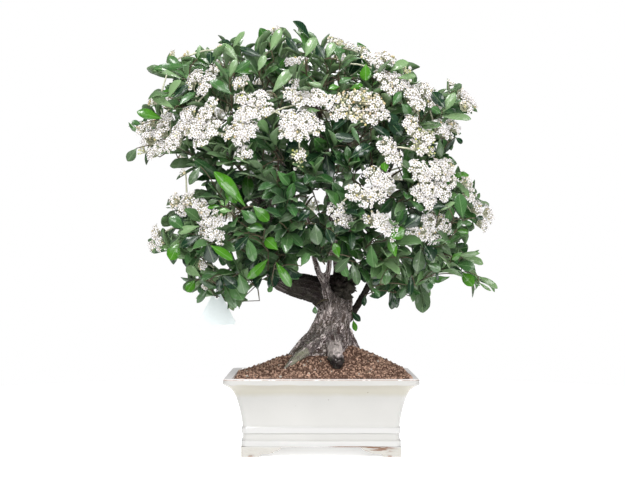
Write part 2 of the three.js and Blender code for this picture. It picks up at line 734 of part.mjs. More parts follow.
function tagGeometry() {
  const { width, above, below, topWidth, corner } = TAG;
  const outline = new THREE.Shape();
  outline.moveTo(-topWidth / 2, above);
  outline.lineTo(-width / 2, -below + corner);
  outline.quadraticCurveTo(-width / 2, -below, -width / 2 + corner, -below);
  outline.lineTo(width / 2 - corner, -below);
  outline.quadraticCurveTo(width / 2, -below, width / 2, -below + corner);
  outline.lineTo(topWidth / 2, above);
  const hole = new THREE.Path();
  hole.absarc(0, 0, TAG.hole, 0, 2 * Math.PI, true);
  outline.holes.push(hole);
  const settings = { depth: TAG.thickness, bevelEnabled: false, curveSegments: 4 };
  const card = new THREE.ExtrudeGeometry(outline, settings);
  return card.translate(0, 0, -TAG.thickness / 2).rotateX(Math.PI / 2).translate(TAG.x, TAG.y, TAG.z);
}

function tieSolid() {
  const [sides, arc] = [4, 5];
  const bottom = TAG.z + TAG.hole - GAP - TAG.string + TAG.loopHalfWidth;
  const rings = [];
  for (let k = 0; k < 2 * arc; k++) {
    const top = k < arc;
    const angle = (Math.PI * (top ? k : k - 1)) / (arc - 1);
    const centre = new THREE.Vector3(TAG.x, TAG.y, top ? TAG.loopTop - TAG.loopHalfWidth : bottom);
    const out = new THREE.Vector3(0, Math.cos(angle), Math.sin(angle));
    rings.push(Array.from({ length: sides }, (_, i) => {
      const turn = (2 * Math.PI * i) / sides;
      return centre.clone()
        .addScaledVector(out, TAG.loopHalfWidth + Math.cos(turn) * TAG.string)
        .add(new THREE.Vector3(Math.sin(turn) * TAG.string, 0, 0));
    }));
  }
  const faces = [];
  const count = rings.length * sides;
  for (let r = 0; r < rings.length; r++) {
    for (let i = 0; i < sides; i++) {
      const a = r * sides + i;
      const b = r * sides + ((i + 1) % sides);
      faces.push([a, b, (b + sides) % count], [a, (b + sides) % count, (a + sides) % count]);
    }
  }
  const loop = solidOf(fromFaces(rings.flat(), faces));
  const knot = new THREE.SphereGeometry(TAG.knot, 6, 4);
  return loop.add(solidOf(knot.translate(TAG.x, TAG.y, TAG.z + TAG.hole - GAP - TAG.knot)));
}

const tag = { name: "tag", solid: solidOf(tagGeometry()) };
const tie = { name: "tag_tie", solid: tieSolid() };
nodes.push({ ...tag, colour: COLOURS.tag, roughness: 0.6 });
nodes.push({ ...tie, colour: COLOURS.string, roughness: 0.8 });
placed.push(tag, tie);

// Keeps leaves off the front of the tag
const tagFront = new THREE.BoxGeometry(TAG.width * 0.8, TAG.frontDepth, TAG.below);
tagFront.translate(TAG.x, TAG.y - 40, TAG.z - TAG.below / 2);
placed.push({ name: "tag_front", solid: solidOf(tagFront) });

// Blooms: each head stands on a stalk, and the stalks meet on one shoot

// A head as large as the room there allows, up to its own size
function fitHead(head, headSeed) {
  const axis = vector(head).sub(CROWN).normalize().add(new THREE.Vector3(0, 0, 0.35)).normalize();
  for (let shrink = 1; shrink > HEAD.smallest; shrink -= 0.05) {
    const sized = [head[0], head[1], head[2], head[3] * shrink];
    if (!isClear(headSolid(sized, axis, seeded(headSeed), AIR))) continue;
    return { head, axis, solid: headSolid(sized, axis, seeded(headSeed)) };
  }
  return null;
}

function growBloom(name, heads, seed) {
  const random = seeded(seed);
  const kept = heads.map((head, i) => fitHead(head, seed + i)).filter((entry) => entry);
  const feet = kept.map(({ head, axis }) => vector(head).addScaledVector(axis, -0.3 * head[3]));
  const middle = middleOf(feet);
  const inward = CROWN.clone().sub(middle).normalize();
  for (let n = 0; n < 30; n++) {
    const meeting = middle.clone().addScaledVector(inward, HEAD.shoot + n);
    meeting.add(new THREE.Vector3(random() - 0.5, random() - 0.5, random() - 0.5).multiplyScalar(n * 1.5));
    const shoot = growShoot(meeting, random, 24);
    if (!shoot) continue;
    const [first, ...others] = feet;
    const radii = [SHOOT.radius, SHOOT.radius, SHOOT.forkRadius, HEAD.stalk];
    const main = [shoot.first, shoot.second, meeting, first].map((point, i) => withRadius(point, radii[i]));
    const stalks = others.map((foot) => [withRadius(meeting, HEAD.stalk), withRadius(foot, HEAD.stalk)]);
    const grown = (extra) => [
      branch(main, { sides: 4, steps: 3, extra }),
      ...stalks.map((line) => branch(line, { sides: 3, steps: 1, extra })),
    ];
    if (!grown(AIR).slice(1).every((solid) => isClear(solid))) continue;
    const whole = join([...grown(0), ...kept.map((entry) => entry.solid)]);
    if (!isClear(whole) || !isSound(cleanSkin(whole))) continue;
    return { name: `bloom_${name}`, solid: whole, colour: COLOURS.bloom, roughness: 0.75 };
  }
  throw new Error(`no room for bloom ${name}`);
}

let seed = 100;
for (const [name, heads] of Object.entries(BLOOMS)) {
  const bloom = growBloom(name, heads, (seed += 7));
  nodes.push(bloom);
  placed.push(bloom);
}

// Sprays: leafy shoots that fork from one stem. A shoot is a four-sided tube that turns as it grows,
// with a short level at each leaf joint, where leaves stand on some of its sides.

function shootRings(line, joints) {
  const curve = new THREE.CatmullRomCurve3(line.map(vector), false, "centripetal");
  const length = curve.getLength();
  const radii = line.map((point) => point[3]);
  const forkShare = line.length > 4 ? curve.getLengths(200)[100] / length : 0;
  const leafy = length * (1 - forkShare);
  const levels = joints.map(({ back }) => 1 - Math.min(back, leafy * 0.7) / length);
  const half = SHOOT.level / 2 / length;
  const fork = forkShare > 0 ? [forkShare] : [];
  const shares = [0, ...fork, ...levels.flatMap((level) => [level - half, level + half]), 1];
  const plane = curve.computeFrenetFrames(40, false);
  const rings = shares.map((share, k) => {
    const frame = Math.round(share * 40);
    const along = curve.getUtoTmapping(share) * (radii.length - 1);
    const low = Math.min(radii.length - 2, Math.floor(along));
    const radius = THREE.MathUtils.lerp(radii[low], radii[low + 1], along - low);
    const joint = Math.max(0, Math.floor((k - (shares.length - 2 - 2 * levels.length)) / 2 + 0.5));
    const turn = Math.min(joint, levels.length) * SHOOT.turn;
    return Array.from({ length: 4 }, (_, i) => {
      const angle = (Math.PI / 2) * i + turn;
      return curve.getPointAt(share)
        .addScaledVector(plane.normals[frame], Math.cos(angle) * radius)
        .addScaledVector(plane.binormals[frame], Math.sin(angle) * radius);
    });
  });
  return { rings, firstLevel: shares.length - 1 - 2 * levels.length };
}

// A leaf standing on one side of a shoot
function leafOn(quad, forward, random, nearTip) {
  const base = middleOf(quad);
  const right = quad[1].clone().sub(quad[0]).normalize();
  const radial = new THREE.Vector3().crossVectors(right, forward).normalize();
  const between = ([low, high]) => low + (high - low) * random();
  const lean = between(nearTip ? LEAF.tipLeans : LEAF.leans);
  const along = forward.clone().multiplyScalar(Math.cos(lean)).addScaledVector(radial, Math.sin(lean));
  along.addScaledVector(right, (random() - 0.5) * 0.5).normalize();
  const outward = base.clone().sub(CROWN).normalize();
  const face = forward.clone().multiplyScalar(1.1).addScaledVector(outward, 0.7);
  face.addScaledVector(radial, -0.2).z += 0.35;
  const size = between(LEAF.sizes);
  return {
    base,
    along,
    face: face.normalize(),
    length: LEAF.length * size,
    width: LEAF.width * size * between(LEAF.widths),
    arch: between(LEAF.arches),
  };
}

// One shoot with the leaves that stay clear of everything else. "blades" gathers the spray's blades.
function leafyShoot(line, random, blades, stems) {
  const joints = line.length > 4 ? MAIN_JOINTS : SIDE_JOINTS;
  const { rings, firstLevel } = shootRings(line, joints);
  const points = rings.flat();
  const faces = [[0, 2, 1], [0, 3, 2]];
  const last = (rings.length - 1) * 4;
  faces.push([last, last + 1, last + 2], [last, last + 2, last + 3]);
  for (let k = 0; k + 1 < rings.length; k++) {
    const level = (k - firstLevel) / 2;
    for (let i = 0; i < 4; i++) {
      const [a, b] = [k * 4 + i, k * 4 + ((i + 1) % 4)];
      const corners = [a, b, b + 4, a + 4];
      const leafy = Number.isInteger(level) && joints[level]?.sides.includes(i);
      const quad = corners.map((c) => points[c]);
      const leaf = leafy && findLeaf(quad, level === joints.length - 1, random, blades, stems);
      if (leaf) {
        const first = points.push(...leafCorners(leaf)) - 10;
        faces.push(...leafFaces(first, corners));
      } else {
        faces.push([a, b, b + 4], [a, b + 4, a + 4]);
      }
    }
  }
  return solidOf(fromFaces(points, faces));
}

function findLeaf(quad, nearTip, random, blades, stems) {
  const forward = quad[3].clone().sub(quad[0]).add(quad[2]).sub(quad[1]).normalize();
  for (let n = 0; n < 14; n++) {
    const leaf = leafOn(quad, forward, random, nearTip);
    if (n > 6) leaf.length *= 0.86;
    if (!isClear(bladeSolid(leaf, BLADE_AIR))) continue;
    const blade = bladeSolid(leaf, OWN_AIR);
    if ([...blades, ...stems].some((other) => crosses(other, blade))) continue;
    blades.push(bladeSolid(leaf, 0));
    return leaf;
  }
  return null;
}

function growStems(ends, random, n) {
  const middle = middleOf(ends.map(vector));
  const stray = () => new THREE.Vector3(random() - 0.5, random() - 0.5, random() - 0.5).multiplyScalar(n);
  const fork = middle.clone().lerp(CROWN, BACK_DEPTH + 0.004 * n).add(stray());
  const shoot = growShoot(fork, random, 24);
  if (!shoot) return null;
  const lines = ends.map((end) => {
    const tip = vector(end).addScaledVector(stray(), 0.6);
    const halfway = fork.clone().lerp(tip, 0.5);
    halfway.z += fork.distanceTo(tip) * 0.08;
    return [fork, halfway, tip];
  });
  const [main, ...others] = lines;
  const radii = [SHOOT.radius, SHOOT.radius, SHOOT.forkRadius, 1.9, SHOOT.tipRadius];
  const mainLine = [shoot.first, shoot.second, ...main].map((point, i) => withRadius(point, radii[i]));
  const sideLines = others.map((line) => line.map((point) => withRadius(point, SHOOT.sideRadius)));
  const stemLines = [mainLine, ...sideLines];
  const jointsOf = (line) => (line === mainLine ? MAIN_JOINTS : SIDE_JOINTS);
  const stems = stemLines.map((line) => tubeSolid(shootRings(line, jointsOf(line)).rings));
  return isClear(join(stems)) ? { stemLines, stems } : null;
}

function growSpray(name, ends, seed) {
  const random = seeded(seed);
  for (let n = 0; n < 60; n++) {
    const grown = growStems(ends, random, n);
    if (!grown) continue;
    const blades = [];
    const shoots = grown.stemLines.map((line) => leafyShoot(line, random, blades, grown.stems));
    const solid = join(shoots);
    if (!isClear(solid) || !isSound(cleanSkin(solid))) continue;
    return { name: `leaf_spray_${name}`, solid, colour: COLOURS.leaf, roughness: 0.45 };
  }
  throw new Error(`no room for spray ${name}`);
}

for (const [name, ends] of Object.entries(SPRAYS)) {
  const spray = growSpray(name, ends, (seed += 7));
  nodes.push(spray);
  placed.push(spray);
}

// Pot, soil and drain screens

const soil = soilSolid(join([...trunkSolids(GAP), plateSolid(-1, GAP), plateSolid(1, GAP)]));
nodes.push(
  { name: "tree", solid: tree.solid, colour: COLOURS.bark, roughness: 0.95 },
  { name: "soil", solid: soil, colour: COLOURS.soil, roughness: 1 },
  { name: "pot", solid: potSolid(), colour: COLOURS.pot, roughness: 0.25 },
  { name: "drain_screen_left", solid: screenSolid(-1), colour: COLOURS.screen, roughness: 0.7 },
  { name: "drain_screen_right", solid: screenSolid(1), colour: COLOURS.screen, roughness: 0.7 },
);

// The finished group, moved so that the middle of its box stands at X = Y = 0

const bonsai = new THREE.Group();
bonsai.name = "firethorn_bonsai";
const box = new THREE.Box3();
for (const { name, solid, colour, roughness } of nodes) {
  const { points, faces } = cleanSkin(solid);
  const geometry = mergeVertices(fromFaces(points, faces).toNonIndexed(), 1e-5);
  const material = new THREE.MeshStandardMaterial({ color: colour, roughness, metalness: 0 });
  const mesh = new THREE.Mesh(geometry, material);
  mesh.name = name;
  mesh.geometry.computeBoundingBox();
  box.union(mesh.geometry.boundingBox);
  bonsai.add(mesh);
}
const middle = box.getCenter(new THREE.Vector3());
bonsai.position.set(-middle.x, -middle.y, 0);

export default bonsai;
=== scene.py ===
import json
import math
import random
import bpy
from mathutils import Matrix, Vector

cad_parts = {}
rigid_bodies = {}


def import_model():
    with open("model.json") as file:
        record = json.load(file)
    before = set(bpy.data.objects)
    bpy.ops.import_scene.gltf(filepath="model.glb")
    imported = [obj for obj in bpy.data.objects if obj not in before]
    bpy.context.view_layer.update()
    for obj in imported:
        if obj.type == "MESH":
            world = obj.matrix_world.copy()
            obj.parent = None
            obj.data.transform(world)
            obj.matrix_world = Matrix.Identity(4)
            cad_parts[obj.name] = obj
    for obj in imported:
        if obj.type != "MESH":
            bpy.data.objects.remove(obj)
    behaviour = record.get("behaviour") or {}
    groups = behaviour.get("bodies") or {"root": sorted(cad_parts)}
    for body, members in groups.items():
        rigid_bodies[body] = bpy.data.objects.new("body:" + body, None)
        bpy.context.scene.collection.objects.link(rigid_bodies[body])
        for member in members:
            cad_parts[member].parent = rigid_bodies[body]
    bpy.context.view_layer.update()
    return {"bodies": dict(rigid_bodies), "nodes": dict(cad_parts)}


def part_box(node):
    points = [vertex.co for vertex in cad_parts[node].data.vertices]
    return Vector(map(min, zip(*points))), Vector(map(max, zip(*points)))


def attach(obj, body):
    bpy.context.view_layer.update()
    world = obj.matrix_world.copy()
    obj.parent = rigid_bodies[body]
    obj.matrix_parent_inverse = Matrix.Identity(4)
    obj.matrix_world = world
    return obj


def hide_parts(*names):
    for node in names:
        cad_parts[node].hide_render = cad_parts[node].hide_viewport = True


bl_info = {
    "name": "Firethorn bonsai",
    "version": (1, 0, 0),
    "blender": (4, 5, 0),
    "location": "3D View > Sidebar > Bonsai",
    "description": "Dresses an old flowering firethorn bonsai and its glazed pot",
    "category": "Object",
}

from contextlib import contextmanager

import bmesh
import bpy
import numpy
from bpy.props import FloatProperty, FloatVectorProperty, IntProperty, PointerProperty
from mathutils import Matrix, Vector, noise
from mathutils.bvhtree import BVHTree

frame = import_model()
BODY = next(iter(frame["bodies"]))

# Places below are millimetres from the middle of the pot, on the surface that it stands on
MM = 0.001
pot_low, pot_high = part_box("pot")
POT_MIDDLE = Vector(((pot_low[0] + pot_high[0]) / 2, (pot_low[1] + pot_high[1]) / 2, 0))
POT_HALF = (pot_high - pot_low) / 2

# The eye that sees the tree, and the view that it has: its size, its scale and its level line
EYE = Vector((-14, -1980, 295))
VIEW_WIDTH, VIEW_HEIGHT = 625, 477
FOCAL = 1166
MIDDLE = VIEW_WIDTH / 2
LEVEL = 274
SENSOR = 36

# Centre lines of the trunk, roots and limbs, thick end first: x, y, z, radius
LIMBS = {
    "trunk": [(7, 0, 95, 26), (7, 0, 125, 38), (6, 0, 146, 45), (8, 0, 163, 45.5), (10, 0, 176, 41),
        (12, 0, 188, 35.5), (16, 0, 200, 33), (20, 0, 215, 31), (24, 0, 232, 30), (24, 0, 249, 29.5),
        (25, 2, 266, 27), (29, 6, 283, 19)],
    "root_left": [(-8, 0, 190, 17), (-30, -4, 173, 14), (-47, -8, 156, 10), (-69, -10, 131, 5)],
    "root_left_front": [(-5, -20, 182, 15), (-25, -36, 167, 10), (-43, -46, 154, 8.5),
        (-61, -54, 136, 4.5)],
    "root_front": [(19, -20, 189, 17), (24, -42, 170, 13), (27, -60, 151, 14), (28, -78, 132, 8)],
    "root_right": [(40, 4, 196, 16), (52, 6, 176, 12), (65, 8, 159, 8), (86, 8, 133, 4)],
    "root_right_back": [(30, 18, 192, 17), (44, 44, 167, 12), (55, 66, 137, 6)],
    "root_left_back": [(2, 18, 189, 17), (-17, 44, 163, 13), (-32, 64, 134, 6)],
    "left_limb": [(26, 4, 246, 25), (-5, 0, 268, 24.5), (-32, -3, 274, 22), (-55, -5, 280, 20.5),
        (-76, -7, 293, 20), (-79, -7, 312, 17), (-66, -4, 339, 14), (-52, 0, 377, 11.5)],
    "left_rise": [(-57, -1, 363, 11), (-49, 10, 438, 8), (-76, 15, 511, 6), (-114, 6, 574, 4.6),
        (-151, 0, 621, 3)],
    "left_arm": [(-61, -3, 353, 8.5), (-106, -15, 420, 7), (-166, -25, 466, 5.5),
        (-219, -30, 499, 4.2), (-259, -30, 522, 3)],
    "left_low": [(-74, -8, 322, 7), (-112, -30, 349, 5.5), (-158, -45, 365, 4.4), (-217, -50, 378, 3)],
    "left_skirt": [(-81, -8, 305, 5.5), (-102, -24, 308, 4), (-135, -36, 307, 3), (-180, -40, 295, 2.4)],
    "front_left": [(-67, -8, 336, 7), (-74, -60, 381, 5.5), (-82, -110, 420, 4.2), (-103, -140, 465, 3)],
    "leader": [(29, 8, 251, 18), (35, 14, 295, 14.5), (30, 14, 346, 12.5), (19, 8, 411, 10.5),
        (12, 0, 482, 8), (2, 0, 553, 6), (-15, 0, 621, 4), (-28, 0, 665, 3)],
    "upright_left": [(15, -22, 251, 9), (8, -25, 277, 7.8), (-4, -27, 298, 6.3), (-11, -30, 322, 5.6),
        (-16, -55, 364, 4.6), (-28, -100, 405, 3.4)],
    "upright_right": [(7, -25, 275, 6.4), (13, -27, 302, 5.6), (15, -30, 323, 5.2),
        (28, -60, 364, 4.2), (37, -110, 404, 3.2)],
    "right_branch": [(47, 12, 218, 8), (60, 12, 237, 6.8), (74, 8, 259, 6.4), (86, 2, 288, 6.6),
        (99, -4, 315, 5.6), (120, -14, 349, 4.8), (149, -30, 382, 3.4)],
    "right_low": [(94, -1, 305, 4.4), (133, -16, 322, 3.4), (180, -24, 329, 2.8), (217, -24, 322, 2.4)],
    "right_arm": [(28, 12, 357, 9), (74, 2, 397, 7.4), (130, -12, 427, 6), (183, -22, 436, 4.4),
        (227, -24, 433, 3)],
    "right_rise": [(12, 0, 475, 7), (60, 4, 533, 5.6), (118, 2, 570, 4.4), (182, -6, 579, 3)],
    "crown_front": [(17, 5, 435, 7), (2, -50, 477, 5.6), (-8, -100, 514, 4.2), (-21, -130, 552, 3)],
    "front_right": [(26, 10, 374, 7), (51, -50, 411, 5.6), (72, -105, 449, 4.2), (83, -135, 482, 3)],
    "back_right": [(30, 16, 336, 8), (66, 60, 386, 6.4), (107, 105, 449, 4.8), (144, 120, 518, 3.2)],
    "back_left": [(-59, 0, 353, 8), (-92, 55, 410, 6.4), (-136, 95, 473, 4.8), (-183, 100, 534, 3.2)],
    "back_rise": [(18, 8, 418, 7.4), (10, 70, 485, 5.8), (0, 120, 551, 4.4), (-15, 135, 603, 3)],
    "back_low": [(33, 18, 316, 6), (20, 75, 344, 4.8), (0, 125, 371, 3.6), (-26, 145, 390, 2.8)],
}

# The crown is a rounded box about this middle, with these half sizes and this squareness
CROWN_MIDDLE = Vector((-16, 0, 482))
CROWN_REACH = (318, 236, 250)
SQUARENESS = 2.7
# Where its shoots come from, and where its flower clusters look away from
SHOOTS_FROM = Vector((0, 10, 400))
CROWN_HEART = Vector((-10, 20, 440))

# Edge of the leafy crown in the view, across and down, clockwise from the upper left
CROWN_EDGE = [
    (152, 64), (160, 59), (168, 50), (176, 56), (184, 51), (192, 47), (198, 44), (208, 50), (216, 39),
    (224, 38), (236, 30), (243, 30), (248, 47), (256, 49), (262, 29), (272, 22), (284, 26), (290, 36),
    (294, 19), (302, 24), (310, 33), (318, 42), (328, 33), (336, 36), (344, 41), (352, 41), (360, 44),
    (370, 46), (384, 54), (396, 55), (408, 58), (413, 68), (418, 76), (430, 82), (440, 92), (448, 82),
    (456, 80), (464, 84), (470, 90), (475, 98), (474, 105), (469, 113), (468, 121), (461, 128), (457, 136),
    (442, 145), (452, 150), (456, 160), (467, 169), (474, 176), (477, 186), (478, 192), (489, 199),
    (495, 208), (496, 218), (492, 226), (470, 232), (449, 240), (462, 247), (478, 251), (480, 258),
    (484, 265), (482, 272), (490, 280), (498, 288), (492, 292), (486, 290), (472, 286), (463, 283),
    (455, 277), (440, 274), (433, 284), (430, 300), (424, 313), (415, 310), (409, 297), (400, 300),
    (392, 309), (387, 300), (384, 286), (376, 296), (368, 291), (362, 305), (352, 290), (345, 275),
    (330, 262), (318, 262), (308, 256), (296, 266), (293, 290), (283, 290), (276, 288), (270, 284),
    (262, 284), (254, 278), (248, 283), (242, 300), (236, 309), (226, 308), (216, 300), (206, 303),
    (196, 300), (193, 292), (185, 291), (185, 280), (187, 270), (184, 262), (165, 256), (147, 250),
    (146, 240), (150, 230), (158, 224), (165, 215), (163, 200), (170, 192), (188, 190), (188, 182),
    (180, 170), (182, 163), (160, 160), (140, 156), (127, 163), (126, 152), (134, 146), (137, 136),
    (140, 128), (131, 122), (136, 114), (139, 104), (145, 97), (149, 88), (160, 85), (171, 80), (168, 72),
    (156, 68),
]

# Leaves that catch the eye: base and tip in the view, width there, and a letter of LEAF_TONES
LEAVES = [
    (190, 64, 152, 68, 7, "m"), (182, 78, 152, 69, 5, "p"), (197, 58, 199, 44, 4, "p"),
    (210, 64, 210, 50, 8, "d"), (238, 60, 222, 42, 8, "p"), (232, 47, 244, 30, 6, "p"),
    (233, 44, 221, 39, 5, "d"), (262, 56, 239, 47, 7, "d"), (310, 38, 293, 19, 8, "d"),
    (270, 50, 281, 27, 9, "p"), (300, 53, 286, 36, 7, "d"), (305, 56, 316, 36, 10, "p"),
    (258, 70, 265, 54, 8, "p"), (272, 92, 293, 68, 10, "p"), (234, 72, 250, 60, 8, "m"),
    (229, 76, 236, 58, 7, "p"), (232, 94, 209, 80, 9, "m"), (168, 97, 180, 79, 9, "p"),
    (172, 98, 188, 84, 7, "d"), (174, 108, 150, 95, 8, "p"), (178, 105, 194, 91, 7, "m"),
    (161, 118, 136, 111, 10, "b"), (141, 124, 131, 121, 5, "m"), (136, 148, 127, 161, 9, "g"),
    (277, 97, 290, 96, 5, "g"), (325, 58, 317, 44, 9, "d"), (327, 57, 334, 41, 9, "p"),
    (334, 53, 346, 49, 4, "m"), (391, 70, 409, 61, 10, "p"), (398, 77, 417, 75, 6, "p"),
    (366, 63, 366, 80, 11, "b"), (352, 77, 339, 82, 6, "m"), (340, 86, 329, 87, 6, "b"),
    (350, 88, 363, 84, 6, "b"), (393, 105, 401, 91, 8, "m"), (402, 103, 411, 114, 9, "m"),
    (420, 108, 423, 116, 6, "d"), (455, 90, 462, 83, 6, "g"), (443, 112, 456, 92, 9, "p"),
    (446, 108, 433, 91, 11, "d"), (442, 113, 432, 107, 7, "m"), (442, 116, 472, 118, 8, "p"),
    (456, 137, 463, 143, 5, "d"), (440, 138, 441, 158, 7, "g"), (371, 125, 391, 136, 8, "d"),
    (386, 116, 403, 136, 11, "d"), (388, 112, 397, 124, 10, "d"), (336, 99, 324, 103, 9, "g"),
    (320, 110, 305, 110, 5, "p"), (308, 82, 322, 85, 5, "p"), (331, 131, 347, 117, 7, "d"),
    (330, 135, 355, 139, 9, "d"), (350, 158, 371, 145, 11, "d"), (360, 144, 352, 126, 5, "m"),
    (411, 170, 403, 160, 6, "g"), (386, 172, 384, 162, 8, "b"), (463, 218, 459, 193, 12, "m"),
    (447, 206, 432, 207, 5, "d"), (440, 211, 455, 202, 5, "p"), (461, 222, 472, 224, 5, "o"),
    (457, 231, 469, 232, 6, "b"), (457, 229, 462, 220, 5, "o"), (475, 218, 484, 218, 5, "d"),
    (452, 256, 442, 245, 7, "g"), (456, 256, 480, 253, 5, "p"), (462, 252, 452, 260, 6, "b"),
    (462, 257, 484, 263, 8, "p"), (456, 264, 475, 267, 10, "m"), (461, 272, 473, 286, 11, "b"),
    (478, 276, 498, 288, 6, "p"), (478, 282, 491, 291, 3, "p"), (427, 264, 441, 270, 9, "o"),
    (436, 270, 438, 281, 3, "d"), (427, 278, 435, 284, 3, "o"), (429, 245, 433, 258, 12, "d"),
    (420, 283, 423, 313, 16, "g"), (411, 275, 410, 296, 6, "d"), (424, 250, 416, 272, 14, "d"),
    (407, 285, 400, 299, 6, "m"), (402, 224, 419, 218, 11, "m"), (410, 200, 424, 211, 6, "m"),
    (405, 228, 392, 238, 13, "b"), (200, 166, 189, 184, 8, "g"), (245, 206, 214, 171, 13, "b"),
    (223, 184, 236, 203, 9, "b"), (224, 206, 220, 200, 4, "y"), (225, 206, 230, 197, 4, "y"),
    (232, 211, 219, 210, 5, "y"), (220, 206, 207, 207, 5, "b"), (218, 200, 208, 203, 5, "g"),
    (253, 206, 269, 221, 11, "b"), (241, 210, 256, 222, 11, "m"), (265, 229, 246, 229, 7, "m"),
    (244, 233, 233, 235, 4, "o"), (184, 229, 169, 217, 11, "m"), (199, 226, 177, 233, 8, "p"),
    (200, 235, 181, 247, 8, "d"), (179, 243, 170, 260, 13, "b"), (207, 243, 214, 263, 14, "d"),
    (210, 245, 233, 260, 9, "b"), (249, 236, 235, 250, 9, "d"), (247, 237, 254, 262, 10, "o"),
    (278, 250, 265, 238, 11, "b"), (268, 259, 248, 279, 9, "b"), (200, 276, 186, 267, 9, "p"),
    (195, 280, 187, 292, 9, "b"), (208, 289, 197, 303, 6, "m"), (218, 272, 201, 280, 7, "m"),
    (221, 275, 219, 292, 7, "d"), (224, 285, 236, 308, 10, "o"), (229, 280, 243, 300, 14, "o"),
    (222, 275, 237, 288, 11, "d"), (239, 274, 245, 294, 12, "o"), (273, 286, 268, 292, 5, "o"),
    (276, 262, 291, 287, 9, "b"), (277, 171, 290, 185, 9, "m"), (372, 287, 380, 296, 5, "m"),
    (365, 295, 364, 306, 5, "d"), (352, 312, 360, 321, 6, "d"), (353, 320, 356, 331, 5, "b"),
    (315, 306, 315, 314, 5, "m"), (381, 279, 372, 284, 6, "d"), (392, 293, 397, 308, 7, "d"),
    (339, 258, 334, 243, 8, "b"), (396, 257, 390, 240, 9, "b"), (301, 266, 309, 253, 8, "o"),
    (350, 257, 335, 272, 9, "g"), (352, 262, 358, 285, 9, "g"), (371, 245, 373, 268, 11, "o"),
    (388, 268, 385, 285, 8, "o"), (315, 224, 318, 245, 12, "g"), (390, 238, 402, 226, 10, "b"),
    (404, 228, 420, 216, 12, "d"), (421, 248, 417, 272, 12, "g"), (424, 244, 434, 260, 11, "d"),
    (247, 228, 263, 227, 9, "b"), (279, 222, 296, 212, 9, "g"), (298, 222, 309, 210, 8, "d"),
    (170, 216, 183, 228, 10, "d"), (326, 228, 333, 243, 9, "d"), (341, 262, 347, 277, 8, "o"),
]

# Shares of middle green, of young green and of pale bloom in a leaf's colour; the pale share also stands
# for painted sheen and light
LEAF_TONES = {
    "d": (0.08, 0.0, 0.0),
    "m": (0.9, 0.1, 0.05),
    "b": (1.0, 0.9, 0.0),
    "p": (1.0, 0.2, 0.58),
    # g paints the bluish sheen of glossy leaves into their colour through the pale share: a painted
    # reflection
    "g": (0.1, 0.0, 0.24),
    "y": (1.0, 1.0, 0.35),
    "o": (0.9, 0.12, 0.14),
}

